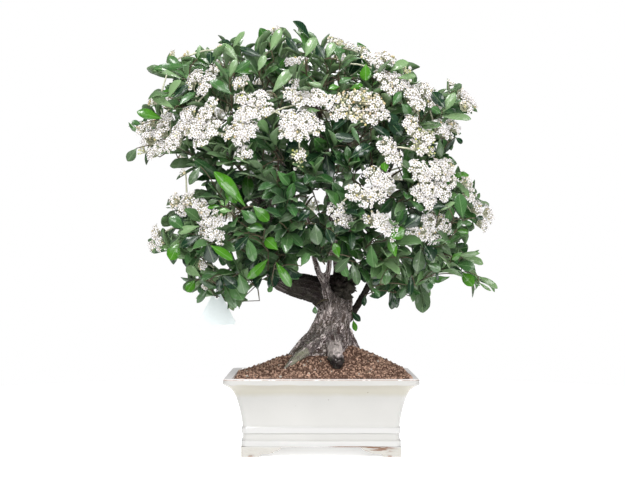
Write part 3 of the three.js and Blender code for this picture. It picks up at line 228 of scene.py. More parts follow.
# Flower clusters: across and down in the view, radius in millimetres, share of the crown's depth
# in front of its middle, and share of pink buds, or of yellow-green ones where it is over 1
CLUSTERS = [
    (146, 138, 15, 0.75, 0), (160, 130, 16, 0.85, 0), (172, 141, 17, 0.9, 0), (158, 147, 12, 0.85, 0),
    (140, 128, 11, 0.7, 0.2), (150, 122, 11, 0.75, 0.1), (165, 119, 12, 0.85, 0.1),
    (179, 128, 13, 0.9, 0), (141, 150, 9, 0.7, 1.7), (176, 134, 8, 0.93, 1.6), (151, 153, 11, 0.8, 0.1),
    (188, 112, 14, 0.95, 0), (204, 113, 15, 1, 0.1), (210, 128, 16, 1, 0), (194, 128, 17, 1, 0),
    (200, 141, 12, 1, 0), (184, 122, 11, 0.95, 0), (233, 131, 16, 1.02, 0), (247, 129, 16, 1.02, 0),
    (240, 138, 12, 1.02, 0), (241, 98, 12, 0.98, 1.3), (242, 112, 13, 1, 1.55), (258, 97, 16, 1, 0),
    (263, 110, 15, 1.02, 0.2), (248, 112, 17, 1.02, 0), (240, 120, 11, 1.02, 0.2),
    (302, 97, 15, 1.02, 0), (315, 96, 17, 1.03, 0), (327, 100, 14, 1.03, 0), (290, 92, 11, 1.02, 0.2),
    (290, 118, 15, 1.03, 0), (305, 118, 16, 1.03, 0), (315, 127, 14, 1.03, 0), (298, 131, 17, 1.04, 0),
    (287, 130, 13, 1.03, 0), (195, 76, 14, 0.85, 0.1), (207, 80, 15, 0.9, 0), (203, 88, 11, 0.95, 0.2),
    (190, 84, 11, 0.85, 1.4), (212, 70, 11, 0.8, 0.2), (215, 62, 10, 0.7, 0.3), (225, 62, 11, 0.75, 0.3),
    (243, 153, 13, 1, 0), (153, 99, 12, 0.3, 0.8), (167, 102, 12, 0.6, 0.7), (172, 52, 6, 0.2, 0.9),
    (186, 52, 6, 0.4, 0.9), (274, 29, 12, 0.2, 0.8), (219, 46, 7, 0.3, 0.9), (292, 60, 11, 0.8, 0.2),
    (302, 60, 10, 0.8, 0.2), (212, 102, 10, 1, 0.2), (240, 81, 13, 0.95, 0.3), (295, 82, 9, 0.95, 0.3),
    (299, 154, 12, 1.02, 1.6), (299, 164, 9, 1, 1.8), (345, 98, 16, 1.03, 0.8),
    (360, 95, 17, 1.03, 0.85), (375, 101, 17, 1.02, 0.6), (351, 112, 16, 1.03, 0.7),
    (368, 115, 17, 1.03, 0.6), (382, 113, 13, 1.02, 0.3), (340, 108, 9, 1.03, 1.5),
    (331, 37, 6, 0.4, 0.8), (350, 44, 8, 0.5, 0.6), (362, 48, 10, 0.55, 0.5), (371, 56, 14, 0.7, 0.1),
    (386, 56, 16, 0.7, 0.2), (378, 63, 12, 0.8, 0), (384, 76, 15, 0.95, 0), (398, 80, 16, 0.95, 0.1),
    (390, 88, 12, 1, 0), (412, 92, 15, 0.95, 0.1), (427, 89, 16, 0.9, 0), (434, 100, 15, 0.9, 0.1),
    (418, 103, 14, 1, 0.2), (465, 95, 15, 0.4, 0), (467, 106, 12, 0.5, 0.1), (472, 101, 12, 0.35, 0.1),
    (461, 88, 9, 0.45, 0.2), (441, 127, 14, 0.9, 0), (454, 126, 13, 0.8, 0.1), (447, 134, 10, 0.9, 0),
    (416, 131, 14, 1, 1.45), (429, 136, 14, 1, 1.5), (420, 146, 13, 1, 1.6), (430, 150, 10, 1, 1.5),
    (409, 126, 9, 1, 0.6), (387, 144, 15, 1.03, 0), (393, 155, 15, 1.03, 0), (338, 41, 12, 0.5, 0.5),
    (341, 57, 12, 0.8, 0.2), (335, 114, 9, 1.02, 0.2), (407, 69, 9, 0.8, 1.4), (452, 82, 8, 0.4, 0.8),
    (411, 120, 11, 1, 0.1), (421, 170, 17, 1.02, 0), (438, 169, 17, 1, 0), (450, 178, 15, 0.95, 0),
    (428, 184, 18, 1.02, 0), (443, 191, 16, 1, 0), (430, 200, 14, 1, 0), (418, 194, 12, 1.02, 0),
    (448, 165, 12, 0.95, 0.2), (466, 180, 13, 0.8, 0.5), (470, 194, 13, 0.75, 0.4),
    (478, 209, 14, 0.4, 0), (489, 214, 14, 0.2, 0), (483, 223, 14, 0.3, 0), (374, 175, 14, 1.03, 0),
    (385, 180, 14, 1.03, 0), (378, 192, 15, 1.03, 0), (354, 192, 13, 1.03, 0.1), (366, 198, 14, 1.03, 0),
    (337, 209, 13, 1, 0.1), (343, 220, 13, 1, 0), (373, 219, 12, 1, 0), (383, 222, 13, 1, 0),
    (392, 230, 14, 1, 0), (430, 220, 15, 0.9, 0), (444, 224, 16, 0.85, 0), (434, 235, 13, 0.9, 0),
    (413, 233, 13, 0.95, 0), (424, 233, 11, 0.95, 0.1), (174, 201, 12, 0.75, 0.5),
    (188, 200, 13, 0.85, 0.3), (199, 207, 13, 0.95, 0.2), (182, 209, 11, 0.8, 0.2),
    (204, 216, 14, 0.95, 0), (215, 220, 14, 0.95, 0), (208, 231, 16, 0.95, 0), (218, 237, 11, 0.95, 0),
    (155, 233, 12, 0.45, 0.1), (160, 244, 12, 0.5, 0), (152, 246, 9, 0.4, 0.2), (202, 265, 9, 0.6, 0.9),
    (183, 172, 6, 0.8, 0.8), (205, 287, 5, 0.6, 0.9), (203, 296, 5, 0.6, 0.9),
    (214, 118, 20, -0.95, 0.1), (196, 126, 15, -0.9, 0), (226, 106, 15, -0.97, 0.1),
    (310, 104, 21, -1, 0), (326, 112, 16, -1, 0.1), (292, 96, 16, -1, 0), (434, 166, 20, -0.95, 0),
    (446, 176, 15, -0.9, 0.1), (386, 186, 20, -1, 0.1), (372, 194, 14, -1, 0), (398, 178, 14, -1, 0),
    (260, 84, 16, -1, 0.1), (272, 92, 13, -1, 0), (180, 160, 14, -0.9, 0.2), (262, 158, 17, -1, 0),
    (276, 166, 14, -1, 0.1), (352, 142, 18, -1, 0), (364, 132, 14, -1, 0.1), (420, 108, 17, -1, 0.1),
    (408, 98, 13, -1, 0), (230, 212, 16, -1, 0.1), (218, 204, 12, -1, 0), (312, 206, 14, -1, 0.2),
    (352, 74, 15, -1, 0.1), (452, 206, 14, -0.9, 0),
]


def at(x, y, z):
    """A place in metres in the model, from millimetres beside the pot's middle."""
    return POT_MIDDLE + Vector((x, y, z)) * MM


def up(height):
    return Vector((0, 0, height))


def unit(value):
    """A value held between 0 and 1."""
    return min(1, max(0, value))


def seen_at(across, down, depth):
    """The place in millimetres that the eye sees there, at that depth."""
    scale = (depth - EYE.y) / FOCAL
    return Vector((EYE.x + (across - MIDDLE) * scale, depth, EYE.z + (LEVEL - down) * scale))


def in_view(place):
    """Across and down in the view, for a place in millimetres."""
    scale = (place.y - EYE.y) / FOCAL
    return MIDDLE + (place.x - EYE.x) / scale, LEVEL - (place.z - EYE.z) / scale


def crown_depth(across, down, side):
    """Depth of the crown's front (side -1) or back (side 1) there, in millimetres."""
    depth = 0
    for _ in range(4):
        place = seen_at(across, down, depth)
        u = abs((place.x - CROWN_MIDDLE.x) / CROWN_REACH[0]) ** SQUARENESS
        v = abs((place.z - CROWN_MIDDLE.z) / CROWN_REACH[2]) ** SQUARENESS
        depth = side * CROWN_REACH[1] * max(0.02, 1 - u - v) ** (1 / SQUARENESS)
    return depth


def inside(edge, across, down):
    """Whether a spot of the view lies inside a closed outline."""
    odd = False
    for (x0, y0), (x1, y1) in zip(edge, edge[1:] + edge[:1]):
        if (y0 > down) != (y1 > down) and across < x0 + (down - y0) * (x1 - x0) / (y1 - y0):
            odd = not odd
    return odd


# Helpers for modelling


def only(piece):
    """Selects a piece and nothing else."""
    for other in bpy.context.selected_objects:
        other.select_set(False)
    if piece:
        piece.select_set(True)
        bpy.context.view_layer.objects.active = piece
    return piece


def named(name):
    """The active piece, under that name."""
    piece = bpy.context.object
    piece.name = piece.data.name = name
    return piece


def placed(name, data):
    """A new object in the scene with that data."""
    piece = bpy.data.objects.new(name, data)
    bpy.context.collection.objects.link(piece)
    return piece


def primitive(kind, name, **settings):
    """A new primitive, by itself in the selection."""
    only(None)
    getattr(bpy.ops.mesh, f"primitive_{kind}_add")(**settings)
    return named(name)


def settle(piece):
    """Puts a piece's place into its mesh."""
    only(piece)
    bpy.ops.object.transform_apply(location=True, rotation=True, scale=True)
    return piece


def modify(piece, kind, **settings):
    """Adds a modifier and applies it."""
    only(piece)
    modifier = piece.modifiers.new(kind.title(), kind)
    for name, value in settings.items():
        setattr(modifier, name, value)
    bpy.ops.object.modifier_apply(modifier=modifier.name)
    return piece


def combine(piece, operation, other):
    """Adds another piece or takes it away, and uses it up."""
    modify(piece, "BOOLEAN", operation=operation, object=other, solver="EXACT")
    bpy.data.objects.remove(other)
    return piece


def joined(pieces, name):
    only(pieces[0])
    for piece in pieces:
        piece.select_set(True)
    bpy.ops.object.join()
    return named(name)


@contextmanager
def editing(piece):
    """Edit mode, with all of a piece selected."""
    only(piece)
    bpy.ops.object.mode_set(mode="EDIT")
    bpy.ops.mesh.select_all(action="SELECT")
    yield
    bpy.ops.object.mode_set(mode="OBJECT")


def face_outwards():
    bpy.ops.mesh.select_all(action="SELECT")
    bpy.ops.mesh.normals_make_consistent(inside=False)


def select_where(mesh, kind, chosen):
    """Selects the corners or faces of the mesh in edit mode that a test chooses by their middle."""
    bpy.ops.mesh.select_all(action="DESELECT")
    shape = bmesh.from_edit_mesh(mesh)
    shape.select_mode = {kind}
    for part in shape.verts if kind == "VERT" else shape.faces:
        part.select_set(chosen(part.co if kind == "VERT" else part.calc_center_median()))
    shape.select_flush_mode()
    bmesh.update_edit_mesh(mesh)


def node_copy(node, name):
    """A copy of a CAD node's mesh as a piece of its own, with its loose triangles merged."""
    piece = placed(name, frame["nodes"][node].data.copy())
    piece.data.name = name
    with editing(piece):
        bpy.ops.mesh.remove_doubles(threshold=1e-6)
    return piece


def surface_of(node):
    """A CAD node's surface, for rays and distances."""
    mesh = frame["nodes"][node].data
    return BVHTree.FromPolygons([v.co for v in mesh.vertices], [p.vertices for p in mesh.polygons])


def dress(piece, *finish):
    """Gives a piece its materials."""
    piece.data.materials.clear()
    for material in finish:
        piece.data.materials.append(material)
    return piece


def declare(piece, slot, *nodes):
    """Gives a piece its body, and lets it stand for CAD nodes, which it hides. Its slot is not used."""
    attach(piece, BODY)
    if nodes:
        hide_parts(*nodes)


def mark(template, spot_of=lambda i, co: (0, 0, 0)):
    """Writes three marks on each corner of a template, from its number and place."""
    layer = template.data.color_attributes.new("spot", "FLOAT_COLOR", "POINT")
    for i, vertex in enumerate(template.data.vertices):
        layer.data[i].color = (*spot_of(i, vertex.co), 1)
    return template


def blank_marks(mesh):
    for label in ("spot", "kind"):
        mesh.color_attributes.new(label, "FLOAT_COLOR", "POINT")


def read(items, label, width=1, kind=float):
    """One property of all items of a mesh, as an array."""
    values = numpy.empty(len(items) * width, dtype=kind)
    items.foreach_get(label, values)
    return values.reshape(-1, width) if width > 1 else values


def arrays_of(template):
    """Turns a template into arrays for copying: its corners, faces and marks."""
    mesh = template.data
    corners = read(mesh.loops, "vertex_index", kind=numpy.int32)
    starts = read(mesh.polygons, "loop_start", kind=numpy.int32)
    arrays = read(mesh.vertices, "co", 3), corners, starts, read(mesh.attributes["spot"].data, "color", 4)
    bpy.data.objects.remove(template)
    return arrays


def fused(name, copies, smooth=True):
    """One piece of many copies: each has its template's arrays, its place as a matrix and its kind."""
    points, corners, starts, spots, kinds = [], [], [], [], []
    first_point = first_corner = 0
    for (shape, shape_corners, shape_starts, shape_spots), place, kind in copies:
        points.append(shape @ numpy.array(place.to_3x3()).T + numpy.array(place.translation))
        corners.append(shape_corners + first_point)
        starts.append(shape_starts + first_corner)
        spots.append(shape_spots)
        kinds.append(numpy.tile((*kind, 1.0), (len(shape), 1)))
        first_point += len(shape)
        first_corner += len(shape_corners)
    mesh = bpy.data.meshes.new(name)
    starts = numpy.concatenate(starts)
    for items, count, label, values in (
        (mesh.vertices, first_point, "co", numpy.concatenate(points).ravel()),
        (mesh.loops, first_corner, "vertex_index", numpy.concatenate(corners)),
        (mesh.polygons, len(starts), "loop_start", starts),
    ):
        items.add(count)
        items.foreach_set(label, values)
    mesh.update(calc_edges=True)
    blank_marks(mesh)
    for label, values in (("spot", spots), ("kind", kinds)):
        mesh.color_attributes[label].data.foreach_set("color", numpy.concatenate(values).ravel())
    mesh.polygons.foreach_set("use_smooth", numpy.full(len(starts), smooth))
    return placed(name, mesh)


def stems(name, lines, sides):
    """Thin round stems along lines of (place in metres, radius in metres), as one mesh."""
    curve = bpy.data.curves.new(name, "CURVE")
    curve.dimensions = "3D"
    curve.bevel_depth = 1
    curve.bevel_resolution = sides
    curve.use_fill_caps = True
    for line in lines:
        spline = curve.splines.new("POLY")
        spline.points.add(len(line) - 1)
        for point, (place, radius) in zip(spline.points, line):
            point.co = (*place, 1)
            point.radius = radius
    only(placed(name, curve))
    bpy.ops.object.convert(target="MESH")
    piece = named(name)
    piece.data.polygons.foreach_set("use_smooth", [True] * len(piece.data.polygons))
    blank_marks(piece.data)
    return piece


def bent(start, end, rise, thick, thin, steps=4):
    """A line between two places that bows upwards by a share of its length and grows thinner."""
    bow = (end - start).length * rise
    line = []
    for k in range(steps + 1):
        place = start.lerp(end, k / steps) + up(bow * math.sin(math.pi * k / steps))
        line.append((place, thick + (thin - thick) * k / steps))
    return line


def scatter(draw, reach):
    """A random vector, each part of it up to that reach."""
    return Vector([draw.uniform(-reach, reach) for _ in range(3)])


def groups_of(prefix):
    """For each CAD node of that kind, what will stand for it: copies and stem lines about its middle."""
    groups = {}
    for node in frame["nodes"]:
        if node.startswith(prefix):
            low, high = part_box(node)
            groups[node] = {"copies": [], "lines": [], "middle": (low + high) / 2}
    return groups


def nearest_group(groups, place):
    return min(groups.values(), key=lambda group: (group["middle"] - place).length)


def grow(groups, prefix, slot, finish, sides):
    """Makes one piece of each group: its copies in the first material, its stems in the second."""
    for node, group in groups.items():
        name = node.replace(prefix, slot)
        lines = dress(stems(name + "_stems", group["lines"], sides), *finish)
        lines.data.polygons.foreach_set("material_index", [1] * len(lines.data.polygons))
        copies = dress(fused(name, group["copies"]), *finish)
        declare(joined([copies, lines], name), slot, node)


# Helpers for materials


class Value:
    """What a shader node gives. It can be reckoned with, which adds nodes."""

    def __init__(self, nodes, socket):
        self.nodes, self.socket = nodes, socket

    def __add__(self, other):
        return self.nodes.compute("ADD", self, other)

    def __sub__(self, other):
        return self.nodes.compute("SUBTRACT", self, other)

    def __rsub__(self, other):
        return self.nodes.compute("SUBTRACT", other, self)

    def __mul__(self, other):
        return self.nodes.compute("MULTIPLY", self, other)

    def __abs__(self):
        return self.nodes.compute("ABSOLUTE", self)

    def or_more(self, other):
        return self.nodes.compute("MAXIMUM", self, other)

    def band(self, low, high):
        """0 below low, 1 above high, smooth between. With low above high it falls instead."""
        smooth = {"interpolation_type": "SMOOTHSTEP"}
        return self.nodes.put("ShaderNodeMapRange", self, low, high, settings=smooth)[0]

    def within(self, low, full, full_to, high):
        """0 outside low and high, 1 from full to full_to, smooth between."""
        return self.band(low, full) * self.band(high, full_to)


class Nodes:
    """A node tree in the making. Its inputs are numbers, colours or values of other nodes."""

    def __init__(self, tree):
        self.tree = tree

    def feed(self, socket, value):
        if isinstance(value, Value):
            self.tree.links.new(value.socket, socket)
        elif socket.type == "RGBA" and len(value) == 3:
            socket.default_value = (*value, 1)
        else:
            socket.default_value = value

    def put(self, kind, *values, settings={}, **inputs):
        """Adds a node, fed in order or by name with _ for a space. Its values have numbers and names."""
        node = self.tree.nodes.new(kind)
        for label, value in settings.items():
            setattr(node, label, value)
        for socket, value in zip(node.inputs, values):
            self.feed(socket, value)
        for label, value in inputs.items():
            self.feed(node.inputs[label.replace("_", " ")], value)
        given = {}
        for k, socket in enumerate(node.outputs):
            given[k] = given[socket.name] = Value(self, socket)
        return given

    def compute(self, operation, *values):
        return self.put("ShaderNodeMath", *values, settings={"operation": operation})[0]

    def mix(self, factor, first, second):
        """Mixes two colours."""
        node = self.tree.nodes.new("ShaderNodeMix")
        node.data_type = "RGBA"
        for k, value in ((0, factor), (6, first), (7, second)):
            self.feed(node.inputs[k], value)
        return Value(self, node.outputs[2])

    def use(self, build, **inputs):
        """Adds the node group that a function builds. It is named after the function and built once."""
        name = build.__name__.replace("_", " ").capitalize()
        group = bpy.data.node_groups.get(name)
        if not group:
            group = bpy.data.node_groups.new(name, "ShaderNodeTree")
            nodes = Nodes(group)
            for label in inputs:
                kind = "NodeSocketVector" if label == "Vector" else "NodeSocketFloat"
                group.interface.new_socket(name=label, in_out="INPUT", socket_type=kind)
            results = build(nodes, nodes.put("NodeGroupInput"))
            for label in results:
                group.interface.new_socket(name=label, in_out="OUTPUT", socket_type="NodeSocketFloat")
            nodes.put("NodeGroupOutput", *results.values())
        return self.put("ShaderNodeGroup", settings={"node_tree": group}, **inputs)


def mottle(nodes, given):
    """Cloudy variation, broad and fine, from 0 to 1."""
    place, scale = given["Vector"], given["Scale"]
    broad = nodes.put("ShaderNodeTexNoise", Vector=place, Scale=scale, Detail=3.0)[0]
    fine = nodes.put("ShaderNodeTexNoise", Vector=place, Scale=scale * 6.3, Detail=4.0)[0]
    both = broad * 0.65 + fine * 0.35
    return {"Broad": broad.band(0.3, 0.7), "Fine": fine.band(0.3, 0.7), "Both": both.band(0.33, 0.67)}


def specks(nodes, given):
    """Small scattered dots."""
    cells = nodes.put("ShaderNodeTexVoronoi", Vector=given["Vector"], Scale=given["Scale"])
    pick = nodes.put("ShaderNodeSeparateColor", cells["Color"])[0]
    rare = nodes.compute("LESS_THAN", pick, given["Share"])
    return {"Dots": cells["Distance"].band(given["Size"], 0.0) * rare}


def wood_grain(nodes, given):
    """Ridges along the wood, over marks that hold the place round the stem and along it."""
    form = {"Scale": given["Scale"], "Detail": 1.0, "Roughness": 0.5, "Distortion": 0.3}
    waves = nodes.put("ShaderNodeTexNoise", Vector=given["Vector"], **form)[0]
    return {"Ridges": abs(waves - 0.5).band(0.08, 0.015)}


class Look(Nodes):
    """A material in the making: a colour, and what is laid over it."""

    def __init__(self, name, body):
        self.material = bpy.data.materials.get(name) or bpy.data.materials.new(name)
        self.material.use_nodes = True
        super().__init__(self.material.node_tree)
        self.tree.nodes.clear()
        self.shader = self.tree.nodes.new("ShaderNodeBsdfPrincipled")
        self.put("ShaderNodeOutputMaterial", Value(self, self.shader.outputs[0]))
        self.place = self.put("ShaderNodeTexCoord")["Object"]
        self.body = body

    def effect(self, build, scale, place=None, **inputs):
        """A node group at a scale, by the object's own places if no other is given."""
        return self.use(build, Vector=place or self.place, Scale=scale, **inputs)

    def marks(self, label):
        """The three marks of a corner."""
        mark = self.put("ShaderNodeAttribute", settings={"attribute_name": label})["Color"]
        return self.put("ShaderNodeSeparateColor", mark)

    def axes(self, vector):
        return self.put("ShaderNodeSeparateXYZ", vector)

    def lay(self, factor, paint):
        """Mixes a colour into the body's."""
        self.body = self.mix(factor, self.body, paint)

    def finish(self, roughness, relief=None, painted_glow=None, **inputs):
        """The material. Its relief has a height, a strength and a distance, and its painted glow, light
        that no lamp gives, is the body's colour.
        """
        inputs.update(Base_Color=self.body, Roughness=roughness)
        if relief:
            height, strength, distance = relief
            bump = self.put("ShaderNodeBump", Height=height, Strength=strength, Distance=distance)
            inputs["Normal"] = bump[0]
        if painted_glow is not None:
            inputs.update(Emission_Color=self.body, Emission_Strength=painted_glow)
        for label, value in inputs.items():
            self.feed(self.shader.inputs[label.replace("_", " ")], value)
        return self.material


def scaled(paint, share):
    return [part * share for part in paint]


def colour(label, value, about):
    limits = {"min": 0, "max": 1, "size": 3}
    return FloatVectorProperty(name=label, description=about, default=value, subtype="COLOR", **limits)


def millimetres(label, value, about):
    default = value * MM
    return FloatProperty(name=label, description=about, default=default, unit="LENGTH", precision=4)


class StageSettings(bpy.types.PropertyGroup):
    floor: colour("Floor", (0.93, 0.93, 0.93), "Plain pale floor")
    light: FloatProperty(name="Light", description="Strength of the soft surroundings", default=0.26, min=0)


class PotSettings(bpy.types.PropertyGroup):
    glaze: colour("Glaze", (0.475, 0.468, 0.452), "Cream glaze of the body")
    thin_glaze: colour("Thin glaze", (0.40, 0.37, 0.285), "Greenish beige where glaze runs under the rim")
    clay: colour("Clay", (0.17, 0.088, 0.052), "Bare clay at edges and feet")
    corner: millimetres("Corner", 9, "Rounding of the pot's corners")
    edge: millimetres("Edge", 0.9, "Rounding of the moulded edges")


class SoilSettings(bpy.types.PropertyGroup):
    granule: millimetres("Granule", 3.9, "Width of a clay granule")
    dark: colour("Dark", (0.12, 0.062, 0.042), "Damp granules")
    light: colour("Light", (0.93, 0.61, 0.45), "Drier granules")


class BarkSettings(bpy.types.PropertyGroup):
    grain: millimetres("Grain", 2.4, "Size of the faces that the bark is carved in")
    ridge: millimetres("Ridge", 3.4, "Height of the bark's ridges on the trunk")
    pale: colour("Pale", (0.90, 0.78, 0.77), "Weathered ridges")
    between: colour("Between", (0.066, 0.045, 0.042), "Bark between the ridges")
    # Mixed in by each stem's darkness: darker young bark and painted shade under the crown
    dark: colour("Dark", (0.012, 0.008, 0.007), "Dark_wood_and_shade")
    lichen: colour("Lichen", (0.38, 0.40, 0.28), "Lichen on the roots")


class FoliageSettings(bpy.types.PropertyGroup):
    leaf: millimetres("Leaf", 42, "Length of a grown leaf")
    shoots: IntProperty(name="Shoots", description="Leafy shoots added to those of the CAD", default=420)
    grown: colour("Grown", (0.005, 0.022, 0.012), "Grown leaves")
    middle: colour("Middle", (0.042, 0.128, 0.035), "Leaves of the year")
    young: colour("Young", (0.060, 0.215, 0.010), "Young leaves")
    # The underside colour also paints sheen and light on leaves, through the pale share
    under: colour("Underside", (0.27, 0.39, 0.20), "Pale undersides and bloom")


class BlossomSettings(bpy.types.PropertyGroup):
    flower: millimetres("Flower", 8.4, "Width of a flower")
    petal: colour("Petal", (0.86, 0.835, 0.835), "White petals")
    bud: colour("Bud", (0.46, 0.33, 0.17), "Cream and pink buds")
    heart: colour("Heart", (0.66, 0.62, 0.34), "Middle of the flower")


class TagSettings(bpy.types.PropertyGroup):
    card: colour("Card", (0.80, 0.865, 0.875), "Bare card")
    string: colour("String", (0.010, 0.013, 0.022), "Dark string")


def settings_label(operator):
    """The name in the scene of an operator's settings."""
    return operator.bl_idname.replace(".", "_")


WHITE = (1, 1, 1)
# Place in metres, width and power of each lamp, and the place that they light
LAMPS = {
    "Key light": ((-0.7, -1.3, 2.0), 0.9, 44),
    "Side light": ((1.4, -1.3, 1.3), 0.9, 14),
    "Front light": ((0.5, -2.4, 0.9), 1.2, 24),
    "Back light": ((0.4, 1.2, 1.9), 1.0, 24),
}
LIT = Vector((0, 0, 0.4))


class BONSAI_OT_stage(bpy.types.Operator):
    """Sets the camera, the pale floor and the soft lights"""

    bl_idname = "bonsai.stage"
    bl_label = "Stage"

    def execute(self, context):
        settings = context.scene.bonsai_stage
        scene = context.scene
        camera = bpy.data.cameras.new("View")
        camera.sensor_width = SENSOR
        camera.lens = SENSOR * FOCAL / VIEW_WIDTH
        camera.clip_end = 50
        view = scene.camera = placed("View", camera)
        view.location = at(*EYE)
        view.rotation_euler = (math.pi / 2 + math.atan((LEVEL - VIEW_HEIGHT / 2) / FOCAL), 0, 0)
        scene.view_settings.view_transform = "Standard"
        floor = primitive("circle", "Floor", vertices=96, radius=1.35, fill_type="NGON")
        dress(floor, Look("Floor", settings.floor).finish(0.9, Emission_Color=WHITE, Emission_Strength=0.5))
        world = scene.world = scene.world or bpy.data.worlds.new("Surroundings")
        world.use_nodes = True
        sky = Nodes(world.node_tree)
        sky.tree.nodes.clear()
        plain, seen = [sky.put("ShaderNodeBackground", WHITE, light)[0] for light in (settings.light, 1.0)]
        ray = sky.put("ShaderNodeLightPath")["Is Camera Ray"]
        sky.put("ShaderNodeOutputWorld", sky.put("ShaderNodeMixShader", ray, plain, seen)[0])
        for name, (place, size, power) in LAMPS.items():
            lamp = bpy.data.lights.new(name, "AREA")
            lamp.shape, lamp.size, lamp.energy = "DISK", size, power
            light = placed(name, lamp)
            light.location = place
            light.rotation_euler = (Vector(place) - LIT).to_track_quat("Z", "Y").to_euler()
        return {"FINISHED"}


# The pot's section: inset from the rim's outer edge, and height, in millimetres
POT_SECTION = [
    (28.4, 17.5), (28.2, 25.5), (30.8, 27.4), (30.8, 36.9), (28.8, 38.6), (28.7, 46.2), (30.2, 48.6),
    (29.6, 55), (28.5, 63), (27, 71), (25.2, 79), (23.1, 87), (20.8, 95), (17.8, 102), (14.2, 108),
    (9.8, 112.2), (5, 115.4), (1.4, 117.2), (0, 119), (0, 125.2), (1.6, 127), (13, 127), (15.5, 125),
    (17, 119), (20, 112), (34, 88), (41, 25),
]
RIM_HEIGHT = 127 * MM
# The slab's inset, the underside's height, and a foot's lower edge: share of its length, height
SLAB_INSET = 29.5
UNDERSIDE = 15.5
FOOT_EDGE = [
    (0.43, 0), (0.455, 2.6), (0.49, 4.4), (0.56, 4.9), (0.68, 5.2), (0.765, 6.4), (0.80, 8.4), (0.87, 9.6),
    (0.93, 11.4), (0.97, 14), (1.0, 16.4),
]
# How far a foot reaches along the front and the side, how thick it is and how far in it stands
FOOT_FRONT, FOOT_SIDE, FOOT_THICKNESS, FOOT_INSET = 66, 54, 13, 28.5
HOLE_ASIDE, HOLE_RADIUS = 62, 11
# The raised bands round the pot, where more of the glaze stands: lower and upper edge, in metres
MOULDINGS = [(0.0165, 0.0265), (0.0375, 0.0495)]


def glaze_material(settings):
    """Cream glaze, worn or thin in places. Its heights and places are metres."""
    look = Look("Cream glaze", settings.glaze)
    spot = look.axes(look.place)
    drawn = look.put("ShaderNodeMapping", Vector=look.place, Scale=(0.3, 1, 2.2))[0]
    cloud, streaks = look.effect(mottle, 9.0), look.effect(mottle, 110.0, drawn)
    height = spot[2] + (cloud["Both"] - 0.5) * 0.003
    aside = spot[0] - POT_MIDDLE.x
    front = spot[1].band(POT_MIDDLE.y - 0.07, POT_MIDDLE.y - 0.09)
    upward = look.axes(look.put("ShaderNodeNewGeometry")["Normal"])[2]
    look.lay(cloud["Broad"], scaled(settings.glaze, 0.93))
    look.lay(height.within(0.0955, 0.105, 0.117, 0.1185) * 0.62, settings.thin_glaze)
    lower, upper = [height.within(low, low + 0.001, high - 0.001, high) for low, high in MOULDINGS]
    look.lay(lower + upper, (0.472, 0.468, 0.462))
    # Bare clay: the rim's edge, the feet's edges, and a chipped stretch and a seam at the right front
    rim = spot[2].within(0.1248, 0.1256, 0.1262, 0.1268) * cloud["Fine"].band(-0.2, 0.5)
    foot = height.band(0.006, 0.002) * cloud["Fine"].band(0.5, 1.1)
    chip = aside.within(0.06, 0.075, 0.105, 0.128) * height.within(0.0075, 0.0115, 0.0165, 0.0185)
    chip *= streaks["Broad"].band(0.5, 0.75) * front
    joint = spot[2].within(0.0148, 0.0156, 0.0172, 0.0184) * front
    seam = aside.within(0.006, 0.03, 0.072, 0.088) * joint
    bare = (rim * 0.8).or_more(foot.or_more(chip.or_more(seam * 0.7)))
    # Painted light: faces near the rim that look up are painted near white and glow a little, so they stay
    # bright in the crown's shade. The glaze is worn below the lower moulding
    painted_top_light = upward.band(0.1, 0.6) * spot[2].band(0.1, 0.12)
    look.lay(painted_top_light * 0.9, (0.90, 0.87, 0.87))
    look.lay(height.band(0.0175, 0.014) * (streaks["Fine"] * 0.5 + 0.35), (0.385, 0.365, 0.325))
    look.lay(bare, settings.clay)
    look.lay(look.effect(specks, 95.0, Size=0.12, Share=0.06)["Dots"] * 0.8, (0.06, 0.03, 0.02))
    relief = (cloud["Both"], 0.06, 0.002)
    # The rim's upward faces glow a little: painted light
    return look.finish(bare * 0.5 + 0.16, relief, painted_top_light * 0.3, Coat_Weight=0.4, Coat_Roughness=0.06)


def pot_body(settings):
    """The walls, drawn up from a rounded slab by extruding and scaling its top."""
    size, height = [side - SLAB_INSET * MM for side in POT_HALF[:2]], UNDERSIDE
    body = primitive("plane", "glazed_pot", size=2, location=POT_MIDDLE + up(height * MM))
    body.scale = (*size, 1)
    with editing(settle(body)):
        bpy.ops.mesh.bevel(offset=settings.corner, segments=7, affect="VERTICES")
        for inset, level in POT_SECTION:
            new = [side - inset * MM for side in POT_HALF[:2]]
            growth = (new[0] / size[0], new[1] / size[1], 1)
            rise = {"value": (0, 0, (level - height) * MM)}
            bpy.ops.mesh.extrude_region_move(TRANSFORM_OT_translate=rise)
            bpy.ops.transform.resize(value=growth, center_override=POT_MIDDLE)
            size, height = new, level
        face_outwards()
    return body


def foot_plate(length):
    """One side of a foot, extruded along X, with its cloud-shaped lower edge."""
    length, thickness = length * MM, FOOT_THICKNESS * MM
    plate = primitive("plane", "Foot plate", size=1)
    plate.rotation_euler = (0, math.pi / 2, 0)
    plate.scale = (UNDERSIDE * MM + 0.001, thickness, 1)
    plate.location = (0, thickness / 2, UNDERSIDE * MM / 2 + 0.0005)
    done = low = 0
    with editing(settle(plate)):
        for share, level in FOOT_EDGE:
            reach = share * length
            bpy.ops.mesh.extrude_region_move(TRANSFORM_OT_translate={"value": (reach - done, 0, 0)})
            select_where(plate.data, "VERT", lambda co: abs(co.x - reach) < 1e-5 and co.z < low + 1e-4)
            bpy.ops.transform.translate(value=(0, 0, level * MM - low))
            done, low = reach, level * MM
            select_where(plate.data, "FACE", lambda co: abs(co.x - reach) < 1e-5)
        face_outwards()
    return plate


